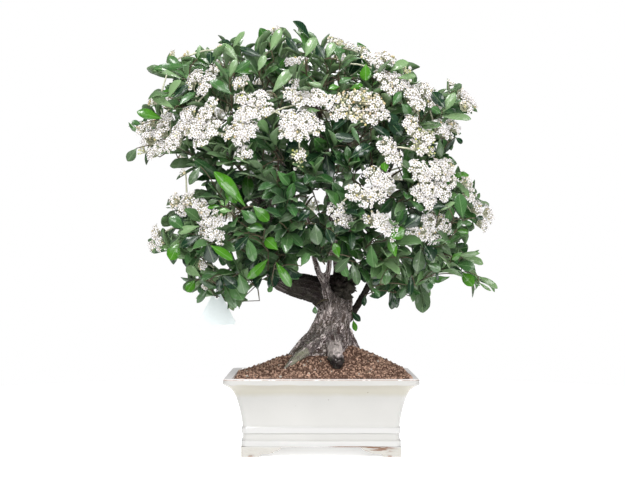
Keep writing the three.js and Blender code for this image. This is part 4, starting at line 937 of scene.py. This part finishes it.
class BONSAI_OT_pot(bpy.types.Operator):
    """Models the glazed pot with its moulded walls and cloud feet"""

    bl_idname = "bonsai.pot"
    bl_label = "Pot"

    def execute(self, context):
        settings = context.scene.bonsai_pot
        body = pot_body(settings)
        foot, side = foot_plate(FOOT_FRONT), foot_plate(FOOT_SIDE)
        side.matrix_world = Matrix(((0, 1, 0, 0), (1, 0, 0, 0), (0, 0, 1, 0), (0, 0, 0, 1)))
        combine(foot, "UNION", settle(side))
        foot.location = (-POT_HALF.x + FOOT_INSET * MM, -POT_HALF.y + FOOT_INSET * MM, 0)
        settle(foot)
        modify(foot, "MIRROR", use_axis=(True, True, False), use_clip=False, use_mirror_merge=False)
        foot.location = POT_MIDDLE
        with editing(settle(foot)):
            face_outwards()
        combine(body, "UNION", foot)
        for sign in (-1, 1):
            hole = {"radius": HOLE_RADIUS * MM, "location": at(sign * HOLE_ASIDE, 0, 22)}
            drill = primitive("cylinder", "Drill", vertices=32, depth=0.03, **hole)
            combine(body, "DIFFERENCE", drill)
        with editing(body):
            bpy.ops.mesh.remove_doubles(threshold=6e-5)
            bpy.ops.mesh.dissolve_limited(angle_limit=math.radians(0.5))
        sharp = {"limit_method": "ANGLE", "angle_limit": math.radians(28)}
        modify(body, "BEVEL", width=settings.edge, segments=2, **sharp)
        only(body)
        bpy.ops.object.shade_smooth_by_angle(angle=math.radians(35))
        modify(body, "WEIGHTED_NORMAL", keep_sharp=True)
        declare(dress(body, glaze_material(settings)), "glaze", "pot")
        return {"FINISHED"}


def granule_material(settings):
    look = Look("Clay granules", settings.dark)
    kind, cloud = look.marks("kind"), look.effect(mottle, 260.0)
    look.lay(kind[0], settings.light)
    look.lay(cloud["Both"] * 0.45, settings.dark)
    look.lay(kind[1], (0.62, 0.58, 0.52))
    return look.finish(0.92, (cloud["Fine"], 0.5, 0.0005))


# Share of granules that are pale, and how much wider apart those of the upper layer lie
PALE_SHARE = 0.016
SPARSER = 2.3


class BONSAI_OT_soil(bpy.types.Operator):
    """Covers the mound of soil with clay granules"""

    bl_idname = "bonsai.soil"
    bl_label = "Soil"

    def execute(self, context):
        settings = context.scene.bonsai_soil
        draw = random.Random(21)
        material = granule_material(settings)
        dress(frame["nodes"]["soil"], material)
        templates = []
        for k in range(3):
            lump = primitive("ico_sphere", "Granule", subdivisions=1, radius=0.5)
            with editing(lump):
                bpy.ops.transform.vertex_random(offset=0.12, seed=5 + k)
            templates.append(arrays_of(mark(lump)))
        surface, bark = surface_of("soil"), surface_of("tree")
        low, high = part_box("soil")
        granules = []
        step = settings.granule * 0.9
        for layer, gap in enumerate((step, step * SPARSER)):
            y = low.y + 0.002
            while y < high.y - 0.002:
                x = low.x + 0.002
                while x < high.x + 0.005:
                    stray = [draw.uniform(-0.4, 0.4) * step for _ in range(2)]
                    spot = Vector((x + stray[0], y + stray[1], 1))
                    x += gap
                    hit = surface.ray_cast(spot, up(-1))[0]
                    # A few lie on the rim at the right end
                    if spot.x > high.x - 0.001 and low.y + 0.006 < y < high.y - 0.006:
                        hit = Vector((spot.x, spot.y, RIM_HEIGHT))
                    if not hit or bark.find_nearest(hit)[3] < 0.0012 or bark.ray_cast(hit, up(1), 0.012)[0]:
                        continue
                    size = settings.granule * draw.uniform(0.7, 1.3)
                    place = Matrix.Translation(hit + up(size * (0.12 + 0.3 * layer)))
                    spin = draw.uniform(0, 6.28)
                    axis = Vector((draw.random(), draw.random(), draw.random() + 0.1))
                    sides = (size, size * draw.uniform(0.75, 1), size * draw.uniform(0.6, 0.9), 1)
                    place = place @ Matrix.Rotation(spin, 4, axis) @ Matrix.Diagonal(sides)
                    pale = 1.0 if draw.random() < PALE_SHARE else 0.0
                    shape = draw.choice(templates)
                    granules.append((shape, place, (draw.random() ** 1.6, pale, 0)))
                y += gap
        declare(dress(fused("granules", granules, smooth=False), material), "soil")
        return {"FINISHED"}


def bark_material(settings):
    look = Look("Old bark", settings.between)
    grain = look.put("ShaderNodeAttribute", settings={"attribute_name": "grain"})["Vector"]
    ridges = look.effect(wood_grain, 230.0, grain)["Ridges"]
    cloud, kind = look.effect(mottle, 24.0), look.marks("kind")
    look.lay((ridges * 0.65 + kind[0] * 0.35).band(0.1, 0.95), settings.pale)
    look.lay(cloud["Both"] * 0.22, (0.13, 0.085, 0.08))
    # Each stem's darkness: darker young bark and painted shade under the crown
    look.lay(kind[1], settings.dark)
    # Crumbs of soil on the dark bark low down
    low = kind[1] * look.axes(look.place)[2].band(0.185, 0.17)
    look.lay(look.effect(specks, 190.0, Size=0.42, Share=0.5)["Dots"] * low, (0.55, 0.5, 0.5))
    look.lay(kind[2] * cloud["Both"].band(0.3, 0.6), settings.lichen)
    return look.finish(0.9, (ridges, 1.0, 0.0022), Specular_IOR_Level=0.15)


def twig_material(name, dark, light):
    look = Look(name, dark)
    cloud = look.effect(mottle, 60.0)
    look.lay(cloud["Both"], light)
    return look.finish(0.7, (cloud["Fine"], 0.3, 0.0005))


STEM_STEP = 0.004


def wood_lines():
    """The middle of each stem at close steps: place, radius, way, distance along it and name, in metres."""
    rows = []
    for name, line in LIMBS.items():
        along = 0
        for (x0, y0, z0, r0), (x1, y1, z1, r1) in zip(line, line[1:]):
            start, end = at(x0, y0, z0), at(x1, y1, z1)
            length = (end - start).length
            way = (end - start).normalized()
            for k in range(max(1, int(length / STEM_STEP))):
                share = k * STEM_STEP / length
                radius = (r0 + (r1 - r0) * share) * MM
                rows.append((start.lerp(end, share), radius, way, along + share * length, name))
            along += length
    return rows


def steady(name):
    """A number between 0 and 1 that stays the same for a name."""
    return sum(ord(letter) * (k + 3) for k, letter in enumerate(name)) % 97 / 97


# How dark the bark of a stem is drawn: partly darker young bark, partly painted shade where the crown
# shades the stems. Twigs have the twig share below, roots none of it, and the trunk and the front root take
# theirs from the height
BARK_DARK_AND_SHADE = {
    "leader": 0.5, "left_limb": 0.94, "upright_left": 0.4, "upright_right": 0.25, "right_branch": 0.97,
}
TWIG_DARK_AND_SHADE = 0.6
# The burl beside the trunk: its middle in millimetres and its reach in metres
BURL, BURL_REACH = (42, -17, 277), 0.026


class BONSAI_OT_wood(bpy.types.Operator):
    """Carves the bark of the trunk, roots and limbs"""

    bl_idname = "bonsai.wood"
    bl_label = "Trunk and limbs"

    def execute(self, context):
        settings = context.scene.bonsai_wood
        wood = node_copy("tree", "trunk_and_limbs")
        modify(wood, "REMESH", mode="VOXEL", voxel_size=settings.grain, use_smooth_shade=True)
        modify(wood, "SMOOTH", factor=0.6, iterations=5)
        rows = wood_lines()
        middles, radii = [numpy.array([row[k] for row in rows]) for k in (0, 1)]
        mesh = wood.data
        mesh.attributes.new("grain", "FLOAT_VECTOR", "POINT")
        blank_marks(mesh)
        grain, kind = mesh.attributes["grain"], mesh.color_attributes["kind"]
        normals = [vertex.normal.copy() for vertex in mesh.vertices]
        for i, vertex in enumerate(mesh.vertices):
            place = vertex.co
            off = numpy.abs(numpy.linalg.norm(middles - numpy.array(place), axis=1) - radii)
            middle, radius, way, along, name = rows[int(off.argmin())]
            spoke = place - middle
            spoke -= way * spoke.dot(way)
            twist = spoke * (1 if name != "trunk" else 0.8)
            grain.data[i].vector = twist + way * along * 0.16 + Vector((steady(name), 0, 0))
            height = (place.z - POT_MIDDLE.z) / MM
            front_root = name == "root_front"
            burl = (place - at(*BURL)).length < BURL_REACH
            wave = Vector(grain.data[i].vector)
            ridge = min(1, abs(noise.fractal(wave * 95, 0.9, 2.0, 3)) * 3.2) - 0.5
            broad = noise.noise(wave * 55)
            knobs = 5 * noise.noise(place * 130) if burl or front_root and height < 165 else 0
            depth = settings.ridge * min(1, radius / 0.028)
            # From here on, place is the carved place
            vertex.co = place + normals[i] * depth * (0.75 * ridge + 0.7 * broad + knobs - 0.2)
            rough = 8 * noise.noise(place * 150)
            dark = BARK_DARK_AND_SHADE.get(name, 0.0 if name.startswith("root") else TWIG_DARK_AND_SHADE)
            lichen = 0.12 if height < 215 else 0.05
            bleached = 0
            if name == "left_limb":
                # Painted light: the limb's far end is lighter on its sides, while its top stays in painted
                # shade
                dark -= 0.4 * unit(along / 0.04 - 2.2) * unit(0.8 - normals[i].z)
            elif name == "trunk":
                # Painted shade: the trunk darkens above 228 mm, under the crown
                dark = 0.55 * unit((height + rough - 228) / 22)
            elif name == "root_left_front":
                lichen = 0.12 + 0.5 * min(1, along / 0.03)
            elif front_root:
                dark = min(0.97, max(0, (167 + 1.4 * rough - height) / 12))
                bleached = 1.9 * unit((186 + rough - height) / 8)
            if burl:
                dark = 0.97
            kind.data[i].color = (unit(0.5 + 0.8 * ridge) + bleached, dark, lichen, 1)
        declare(dress(wood, bark_material(settings)), "bark", "tree")
        return {"FINISHED"}


def leaf_material(settings):
    look = Look("Leaves", settings.grown)
    spot, kind = look.marks("spot"), look.marks("kind")
    off = abs(spot[0] - 0.5)
    side_veins = look.compute("SINE", (spot[1] - off * 0.55) * 56.0).band(0.82, 1.0) * 0.35
    veins = off.band(0.045, 0.015).or_more(side_veins)
    look.lay(kind[0], settings.middle)
    look.lay(kind[1], settings.young)
    look.lay(look.effect(mottle, 45.0)["Both"] * 0.25, settings.grown)
    look.lay(veins * 0.3, settings.under)
    look.lay(spot[2], look.mix(0.35, look.body, settings.under))
    # The pale share is partly pale bloom and partly painted light: sheen on glossy leaves and the lighter
    # outer leaves
    look.lay(kind[2], settings.under)
    glossy = look.effect(mottle, 7.0)["Fine"].band(0.46, 0.58)
    shine = {"Specular_IOR_Level": glossy * 0.5 + 0.06, "Coat_Weight": glossy * 0.6, "Coat_Roughness": 0.22}
    return look.finish(spot[2] * 0.3 + 0.3, (1.0 - veins, 0.35, 0.0006), **shine)


# Where a leaf is widest, and where the rows of its grid lie along it
LEAF_WIDEST = 0.6
LEAF_ROWS = (0, 0.15, 0.32, 0.5, 0.66, 0.81, 0.93, 1)
# Fold along the midrib, arch and wave of a flat, an arched, a cupped and a curled leaf
LEAF_SHAPES = [(0.16, 0.03, 0.05), (0.24, 0.14, 0.07), (0.36, 0.05, 0.03), (0.2, 0.24, 0.1)]
# Which of these a leaf takes that isn't on a grown shoot
PLAINER = (0, 0, 1, 2)


def leaf_template(fold, arch, wave):
    """A leaf one unit long and wide, widest past its middle, with a round tip, from a grid."""
    leaf = primitive("grid", "Leaf", x_subdivisions=2, y_subdivisions=7, size=2)
    for vertex in leaf.data.vertices:
        side, share = vertex.co.x, LEAF_ROWS[round((vertex.co.y + 1) * 3.5)]
        if share < LEAF_WIDEST:
            half = 0.5 * math.sin(share / LEAF_WIDEST * math.pi / 2) ** 1.25
        else:
            half = 0.5 * math.cos((share - LEAF_WIDEST) / (1 - LEAF_WIDEST) * 1.44) ** 0.58
        half = 0.13 if share == 1 else max(half, 0.035)
        length = share * (1 - 0.035 * side * side * (share > 0.9))
        ripple = wave * math.sin(share * 11 + 1) * side * half
        lift = fold * abs(side) * half - arch * share * share + ripple
        vertex.co = (side * half, length, lift)
    modify(leaf, "SOLIDIFY", thickness=0.012, offset=-1)
    # The underside's corners come after the face's
    count = len(leaf.data.vertices) // 2
    return arrays_of(mark(leaf, lambda i, co: (unit(0.5 + co.x), unit(co.y), float(i >= count))))


def leaf_place(base, along, face, length, width):
    """The matrix that puts a unit leaf there, its face outwards."""
    along = along.normalized()
    right = along.cross(face).normalized()
    above = right.cross(along).normalized()
    turn = Matrix((right * width, along * length, above * length)).transposed().to_4x4()
    return Matrix.Translation(base) @ turn


# How thick a leaf of the CAD is at its sides and its end, in millimetres
SIDE_EDGE, END_EDGE, EDGE_MARGIN = 0.72, 0.66, 0.003


def cad_leaves(node):
    """Base, tip, upward face and width of each leaf in a CAD spray, known by its edges' thickness."""
    mesh = frame["nodes"][node].data
    points = read(mesh.vertices, "co", 3)
    cells = numpy.round(points / 2e-6).astype(int)
    _, first, welded = numpy.unique(cells, axis=0, return_index=True, return_inverse=True)
    points, welded = points[first], welded.ravel()
    beside = {}
    for face in mesh.polygons:
        corners = [int(welded[i]) for i in face.vertices]
        for a in corners:
            beside.setdefault(a, set()).update(c for c in corners if c != a)
    wide, ends = {}, {}
    for a in beside:
        for b in beside[a]:
            thickness = numpy.linalg.norm(points[a] - points[b]) / MM
            for edge, pairs in ((SIDE_EDGE, wide), (END_EDGE, ends)):
                if a < b and abs(thickness - edge) < EDGE_MARGIN:
                    pairs[a], pairs[b] = b, a

    def around(group):
        return {c for e in group for c in beside[e]}

    def mean(group):
        return Vector(points[sorted(group)].mean(axis=0))

    leaves, done = [], set()
    for start in ends:
        if start in done:
            continue
        end_corners = {start, ends[start]}
        end_corners |= around(end_corners) & ends.keys()
        done |= end_corners
        sides = around(end_corners) & wide.keys()
        if len(end_corners) != 4 or len(sides) != 4:
            continue
        midrib = around(end_corners) - end_corners - sides
        roots = around(sides) - end_corners - sides - midrib
        one = sorted(sides)[0]
        left = {one, wide[one]}
        face = (mean(sides) - mean(midrib)).normalized()
        leaves.append((mean(roots), mean(end_corners), face, (mean(sides - left) - mean(left)).length))
    return leaves


class Branching:
    """What twigs can grow from: places with the radius there, in metres."""

    def __init__(self):
        rows = [row for row in wood_lines() if row[1] < 0.016 and not row[4].startswith("root")]
        self.places = [numpy.array(row[0]) for row in rows]
        self.radii = [row[1] for row in rows]

    def twig(self, near, end, rise, thickest, thinnest, thin, *tail):
        """The line of a twig to its end, from the stem that is nearest to a place and rather below it."""
        spots = numpy.array(self.places)
        gap = numpy.linalg.norm(spots - numpy.array(near), axis=1)
        climb = numpy.maximum(0, spots[:, 2] - near.z)
        best = int((gap + 0.6 * climb + 0.5 * numpy.array(self.radii)).argmin())
        thick = min(thickest, max(thinnest, self.radii[best] * 0.75))
        line = bent(Vector(self.places[best]), end, rise, thick, thin) + list(tail)
        for place, radius in line:
            self.places.append(numpy.array(place))
            self.radii.append(radius)
        return line


# Where the tag's string shows, across and down in the view
TAG_TOP = (216, 296)
# How far leaves stay from it and from chosen leaves there, and how deep before a flower, in millimetres
CLEAR = 9
IN_FRONT = 12


def covered(place, tip):
    """Whether a leaf there, in millimetres, leaves the crown or hides a flower cluster or a chosen leaf."""
    spot = in_view(place)
    if not inside(CROWN_EDGE, *in_view(tip)) or math.dist(spot, TAG_TOP) < CLEAR:
        return True
    for x0, y0, x1, y1, _, _ in LEAVES:
        x, y = (x0 + x1) / 2, (y0 + y1) / 2
        if math.dist(spot, (x, y)) < CLEAR and place.y < crown_depth(x, y, -1) + IN_FRONT:
            return True
    for x, y, radius, depth, _ in CLUSTERS:
        if math.dist(spot, (x, y)) < radius / 1.7 and place.y < crown_depth(x, y, -1) * depth + IN_FRONT:
            return True
    return False


# How far grown shoots keep apart in millimetres, and how often a place is looked for
SPACING = 21
TRIES = 20000


def shoot_places(draw, count):
    """Where grown shoots are, in millimetres, those nearest to the limbs first."""
    places = []
    for _ in range(TRIES):
        if len(places) >= count:
            break
        across, down = draw.uniform(130, 490), draw.uniform(28, 305)
        if not inside(CROWN_EDGE, across, down):
            continue
        side = -1 if draw.random() < 0.56 else 1
        share = 1 - 0.95 * draw.random() ** 1.5
        place = seen_at(across, down, crown_depth(across, down, side) * share)
        # The trunk stays bare, and shoots keep apart
        bare = place.z < 330 and abs(place.x - 12) < 75 and abs(place.y) < 130
        if not bare and not any((place - other).length < SPACING for other in places):
            places.append(place)
    return sorted(places, key=lambda place: (place - Vector((10, 10, 400))).length)


SHOOT_LENGTH = 0.05


def grow_shoot(draw, branching, place, templates, leaf):
    """Leaves in a spiral round a shoot, its stem from the nearest twig, and where it starts, in metres."""
    way = ((place - SHOOTS_FROM).normalized() + up(0.35) + scatter(draw, 0.4)).normalized()
    start = at(*(place - way * 45))
    end = start + way * SHOOT_LENGTH
    side = way.orthogonal().normalized()
    youth = -0.15 + 0.4 * draw.random() ** 3
    count = draw.randint(7, 10)
    leaves = []
    for k in range(count):
        share = 0.25 + 0.75 * (k + 0.5) / count
        radial = Matrix.Rotation(k * 2.4 + draw.uniform(-0.4, 0.4), 3, way) @ side
        lean = draw.uniform(0.75, 1.25) - 0.5 * share
        along = (way * math.cos(lean) + radial * math.sin(lean) + up(draw.uniform(-0.25, 0.1))).normalized()
        face = way + up(0.55) - radial * 0.1 + scatter(draw, 0.35)
        size = leaf * draw.uniform(0.72, 1.12) * (1 - 0.25 * (share > 0.9))
        base = start.lerp(end, share)
        middle, tip = [(base + along * size * part - POT_MIDDLE) / MM for part in (0.6, 1)]
        if covered(middle, tip):
            continue
        young = unit(youth + draw.uniform(-0.15, 0.25) + 0.25 * (share > 0.85))
        # Painted light and shade: leaves far from the crown's heart, at its top and at its lower sides are
        # painted lighter, greener and paler, and those inside darker
        off = middle - CROWN_HEART
        outside = unit((Vector((off.x / 290, off.y / 240, off.z / 270)).length - 0.45) / 0.35)
        edge = max(0, off.z / 270) + (0.8 if off.z < -60 and abs(off.x) > 90 else 0)
        tone = min(1, draw.random() ** 1.2 * max(0.1, outside) + 0.4 * edge)
        pale = 0.6 * draw.random() ** 4 * outside + 0.28 * edge * draw.random()
        shape = draw.choice(templates)
        spot = leaf_place(base, along, face, size, size * draw.uniform(0.34, 0.44))
        leaves.append((shape, spot, (tone, young, pale)))
        reach = share
    if not leaves:
        return [], None, start
    line = branching.twig(start, start, 0.1, 0.0021, 0.0011, 0.001, (start.lerp(end, reach), 0.0007))
    return leaves, line, start


def chosen_leaves(draw, branching, templates):
    """The leaves that catch the eye, each on a short stem from the nearest twig."""
    for x0, y0, x1, y1, wide, tone in LEAVES:
        depth = crown_depth((x0 + x1) / 2, (y0 + y1) / 2, -1) - 4
        base, tip = seen_at(x0, y0, depth), seen_at(x1, y1, depth + draw.uniform(-8, 8))
        scale = (depth - EYE.y) / FOCAL
        face = Vector((draw.uniform(-0.35, 0.35), -1, draw.uniform(-0.1, 0.5)))
        length = (tip - base).length * MM
        place = leaf_place(at(*base), (tip - base) * MM, face, length, wide * scale * MM * 1.08)
        foot = at(*base)
        line = branching.twig(foot + Vector((0, 0.02, -0.005)), foot, 0.08, 0.0016, 0.0009, 0.0008)
        yield (templates[draw.choice(PLAINER)], place, LEAF_TONES[tone]), line


def cad_twigs(node, branching):
    """Stems for a CAD spray's own leaves: each group of near leaf bases hangs on the nearest twig."""
    bases = [leaf[0] for leaf in cad_leaves(node)]
    lines = []
    while bases:
        group = [base for base in bases if (base - bases[0]).length < 0.03]
        bases = [base for base in bases if base not in group]
        middle = sum(group, Vector()) / len(group)
        near = middle - (middle - at(*SHOOTS_FROM)).normalized() * 0.02
        lines.append(branching.twig(near, middle, 0.06, 0.0019, 0.0019, 0.0011))
        lines += [[(middle, 0.0011), (base, 0.0008)] for base in group]
    return lines


class BONSAI_OT_foliage(bpy.types.Operator):
    """Grows the leaves and twigs of every spray"""

    bl_idname = "bonsai.foliage"
    bl_label = "Foliage"

    def execute(self, context):
        settings = context.scene.bonsai_foliage
        draw = random.Random(7)
        templates = [leaf_template(*shape) for shape in LEAF_SHAPES]
        sprays = groups_of("leaf_spray")
        for node, spray in sprays.items():
            for base, tip, face, width in cad_leaves(node):
                shape = templates[draw.choice(PLAINER)]
                place = leaf_place(base, tip - base, face, (tip - base).length * 1.02, width * 1.04)
                kind = (draw.random() ** 1.3, max(0, draw.uniform(-0.5, 0.55)), 0)
                spray["copies"].append((shape, place, kind))
        branching = Branching()
        for place in shoot_places(draw, settings.shoots):
            leaves, line, start = grow_shoot(draw, branching, place, templates, settings.leaf)
            if leaves:
                spray = nearest_group(sprays, start)
                spray["copies"] += leaves
                spray["lines"].append(line)
        for leaf, line in chosen_leaves(draw, branching, templates):
            spray = nearest_group(sprays, line[-1][0])
            spray["copies"].append(leaf)
            spray["lines"].append(line)
        for node, spray in sprays.items():
            spray["lines"] += cad_twigs(node, branching)
        twig = twig_material("Young twigs", (0.06, 0.04, 0.025), (0.10, 0.085, 0.04))
        grow(sprays, "leaf_spray", "foliage", (leaf_material(settings), twig), sides=1)
        return {"FINISHED"}


def petal_material(settings):
    look = Look("Petals", settings.petal)
    spot, kind = look.marks("spot"), look.marks("kind")
    cloud = look.effect(mottle, 120.0)
    look.lay(cloud["Both"] * 0.25, scaled(settings.petal, 0.86))
    look.lay(kind[1], settings.bud)
    look.lay(kind[2], (0.40, 0.42, 0.10))
    look.lay(spot[0].band(0.2, 0.45), settings.heart)
    look.lay(spot[0].band(0.7, 0.9), (0.42, 0.30, 0.16))
    # Painted light: the petals glow a little, as if lit through
    return look.finish(0.62, (cloud["Fine"], 0.15, 0.0003), painted_glow=0.15)


def flower_template(cup):
    """A flower one unit wide: five rounded petals, a small disc and a ring of anthers."""
    parts = []
    for k in range(5):
        petal = primitive("cone", "Petal", vertices=6, radius1=0.22, radius2=0, depth=0.06)
        with editing(petal):
            select_where(petal.data, "VERT", lambda co: co.y < -0.1)
            bpy.ops.transform.resize(value=(0.5, 1, 1))
        tilt = Matrix.Rotation(cup, 4, "X") @ Matrix.Translation((0, 0.27, 0))
        petal.matrix_world = Matrix.Rotation(k * math.tau / 5, 4, "Z") @ tilt
        parts.append(mark(settle(petal)))
    disc = primitive("cone", "Disc", vertices=5, radius1=0.09, radius2=0.03, depth=0.08)
    parts.append(mark(settle(disc), lambda i, co: (0.5, 0, 0)))
    for k in range(5):
        anther = primitive("cone", "Anther", vertices=3, radius1=0.035, radius2=0.01, depth=0.09)
        anther.location = (0.15 * math.cos(k * 1.257), 0.15 * math.sin(k * 1.257), 0.11)
        parts.append(mark(settle(anther), lambda i, co: (1, 0, 0)))
    return arrays_of(joined(parts, "Flower"))


GOLDEN_ANGLE = 2.39996


def turned_to(way):
    """The turn from straight up to that way."""
    return up(1).rotation_difference(way).to_matrix()


def flower_head(draw, shapes, centre, axis, radius, pink, width):
    """Florets and buds over a flat dome, and their stalks from its foot."""
    opened, bud = shapes
    turn = turned_to(axis)
    foot = centre - axis * radius * 0.9
    florets, stalks = [], []
    count = max(5, round(2.3 * (radius / (width / 2)) ** 2))
    for k in range(count):
        rise = 1 - 0.86 * (k + 0.5) / count
        out = math.sqrt(1 - rise * rise)
        spin = k * GOLDEN_ANGLE + draw.uniform(-0.3, 0.3)
        ragged = draw.uniform(0.8, 1.16)
        way = turn @ Vector((math.cos(spin) * out, math.sin(spin) * out, rise * 0.62))
        place = centre + way * radius * ragged - axis * radius * 0.25
        face = (way.normalized() + axis * 0.5 + scatter(draw, 0.35)).normalized()
        rotate = turned_to(face).to_4x4() @ Matrix.Rotation(draw.uniform(0, 6.28), 4, "Z")
        size = width * draw.uniform(0.96, 1.26)
        if pink > 1 and draw.random() < pink - 1:
            size *= draw.uniform(0.25, 0.42)
            shape, kind = bud, (draw.random(), 0.1, draw.uniform(0.5, 1))
        elif pink <= 1 and draw.random() < 0.1 + pink * 0.65:
            size *= draw.uniform(0.3, 0.5)
            shape, kind = bud, (draw.random(), draw.uniform(0.3, 1), draw.random() * 0.5)
        else:
            shape, kind = draw.choice(opened), (draw.random(), 0.12 * min(1, pink) * draw.random(), 0)
        florets.append((shape, Matrix.Translation(place) @ rotate @ Matrix.Scale(size, 4), kind))
        knee = foot.lerp(place, 0.6) + axis * radius * 0.04
        stalks.append([(foot, 0.0009), (knee, 0.0007), (place, 0.0006)])
    return foot, florets, stalks


class BONSAI_OT_blossom(bpy.types.Operator):
    """Fills every flower cluster with florets, buds and stalks"""

    bl_idname = "bonsai.blossom"
    bl_label = "Blossom"

    def execute(self, context):
        settings = context.scene.bonsai_blossom
        draw = random.Random(33)
        opened = [flower_template(cup) for cup in (0.25, 0.5, 0.8)]
        shapes = opened, arrays_of(mark(primitive("ico_sphere", "Bud", subdivisions=1, radius=0.5)))
        branching = Branching()
        shoots = groups_of("bloom")
        for across, down, radius, depth, pink in CLUSTERS:
            side = -1 if depth >= 0 else 1
            middle = seen_at(across, down, crown_depth(across, down, side) * abs(depth))
            axis = ((middle - CROWN_HEART).normalized() + up(0.35)).normalized()
            centre = at(*middle)
            head = centre, axis, radius * MM, pink
            foot, florets, stalks = flower_head(draw, shapes, *head, settings.flower)
            shoot = nearest_group(shoots, centre)
            shoot["copies"] += florets
            twig = branching.twig(foot - axis * 0.015, foot, 0.08, 0.0017, 0.0017, 0.0011)
            shoot["lines"] += [*stalks, twig]
        stalk = twig_material("Flower stalks", (0.42, 0.43, 0.30), (0.66, 0.66, 0.50))
        grow(shoots, "bloom", "blossom", (petal_material(settings), stalk), sides=0)
        return {"FINISHED"}


class BONSAI_OT_tag(bpy.types.Operator):
    """Finishes the bare tag, its string and the drain screens"""

    bl_idname = "bonsai.tag"
    bl_label = "Tag and drain screens"

    def execute(self, context):
        settings = context.scene.bonsai_tag
        plastic = ("Screen plastic", (0.02, 0.02, 0.02), 60.0, 0)
        for node, (name, base, scale, painted_glow) in {
            # The bare card glows a little, as painted light; the screens don't
            "tag": ("Bare card", settings.card, 40.0, 0.02),
            "drain_screen_left": plastic,
            "drain_screen_right": plastic,
        }.items():
            look = Look(name, base)
            cloud = look.effect(mottle, scale)
            look.lay(cloud["Both"], scaled(base, 0.94))
            dress(frame["nodes"][node], look.finish(0.5, (cloud["Fine"], 0.1, 0.0003), painted_glow))
        tie = modify(node_copy("tag_tie", "tag_loop"), "SUBSURF", levels=2, render_levels=2)
        look = Look("Dark string", settings.string)
        twist = look.put("ShaderNodeTexWave", Vector=look.place, Scale=900.0, Distortion=2.0)["Fac"]
        look.lay(twist, scaled(settings.string, 3))
        declare(dress(tie, look.finish(0.85, (twist, 0.5, 0.0003))), "tag_string", "tag_tie")
        return {"FINISHED"}


STEPS = [
    (BONSAI_OT_stage, StageSettings),
    (BONSAI_OT_pot, PotSettings),
    (BONSAI_OT_soil, SoilSettings),
    (BONSAI_OT_wood, BarkSettings),
    (BONSAI_OT_foliage, FoliageSettings),
    (BONSAI_OT_blossom, BlossomSettings),
    (BONSAI_OT_tag, TagSettings),
]


class BONSAI_PT_panel(bpy.types.Panel):
    """Lists the pieces and their settings"""

    bl_idname = "BONSAI_PT_panel"
    bl_label = "Firethorn bonsai"
    bl_space_type = "VIEW_3D"
    bl_region_type = "UI"
    bl_category = "Bonsai"

    def draw(self, context):
        for operator, group in STEPS:
            box = self.layout.box()
            box.operator(operator.bl_idname)
            for name in group.__annotations__:
                box.prop(getattr(context.scene, settings_label(operator)), name)


def register():
    for operator, group in STEPS:
        bpy.utils.register_class(group)
        setattr(bpy.types.Scene, settings_label(operator), PointerProperty(type=group))
        bpy.utils.register_class(operator)
    bpy.utils.register_class(BONSAI_PT_panel)


def unregister():
    bpy.utils.unregister_class(BONSAI_PT_panel)
    for operator, group in reversed(STEPS):
        bpy.utils.unregister_class(operator)
        delattr(bpy.types.Scene, settings_label(operator))
        bpy.utils.unregister_class(group)


def main():
    register()
    for operator, _ in STEPS:
        getattr(bpy.ops.bonsai, operator.bl_idname.split(".")[1])()


if __name__ == "__main__":
    main()
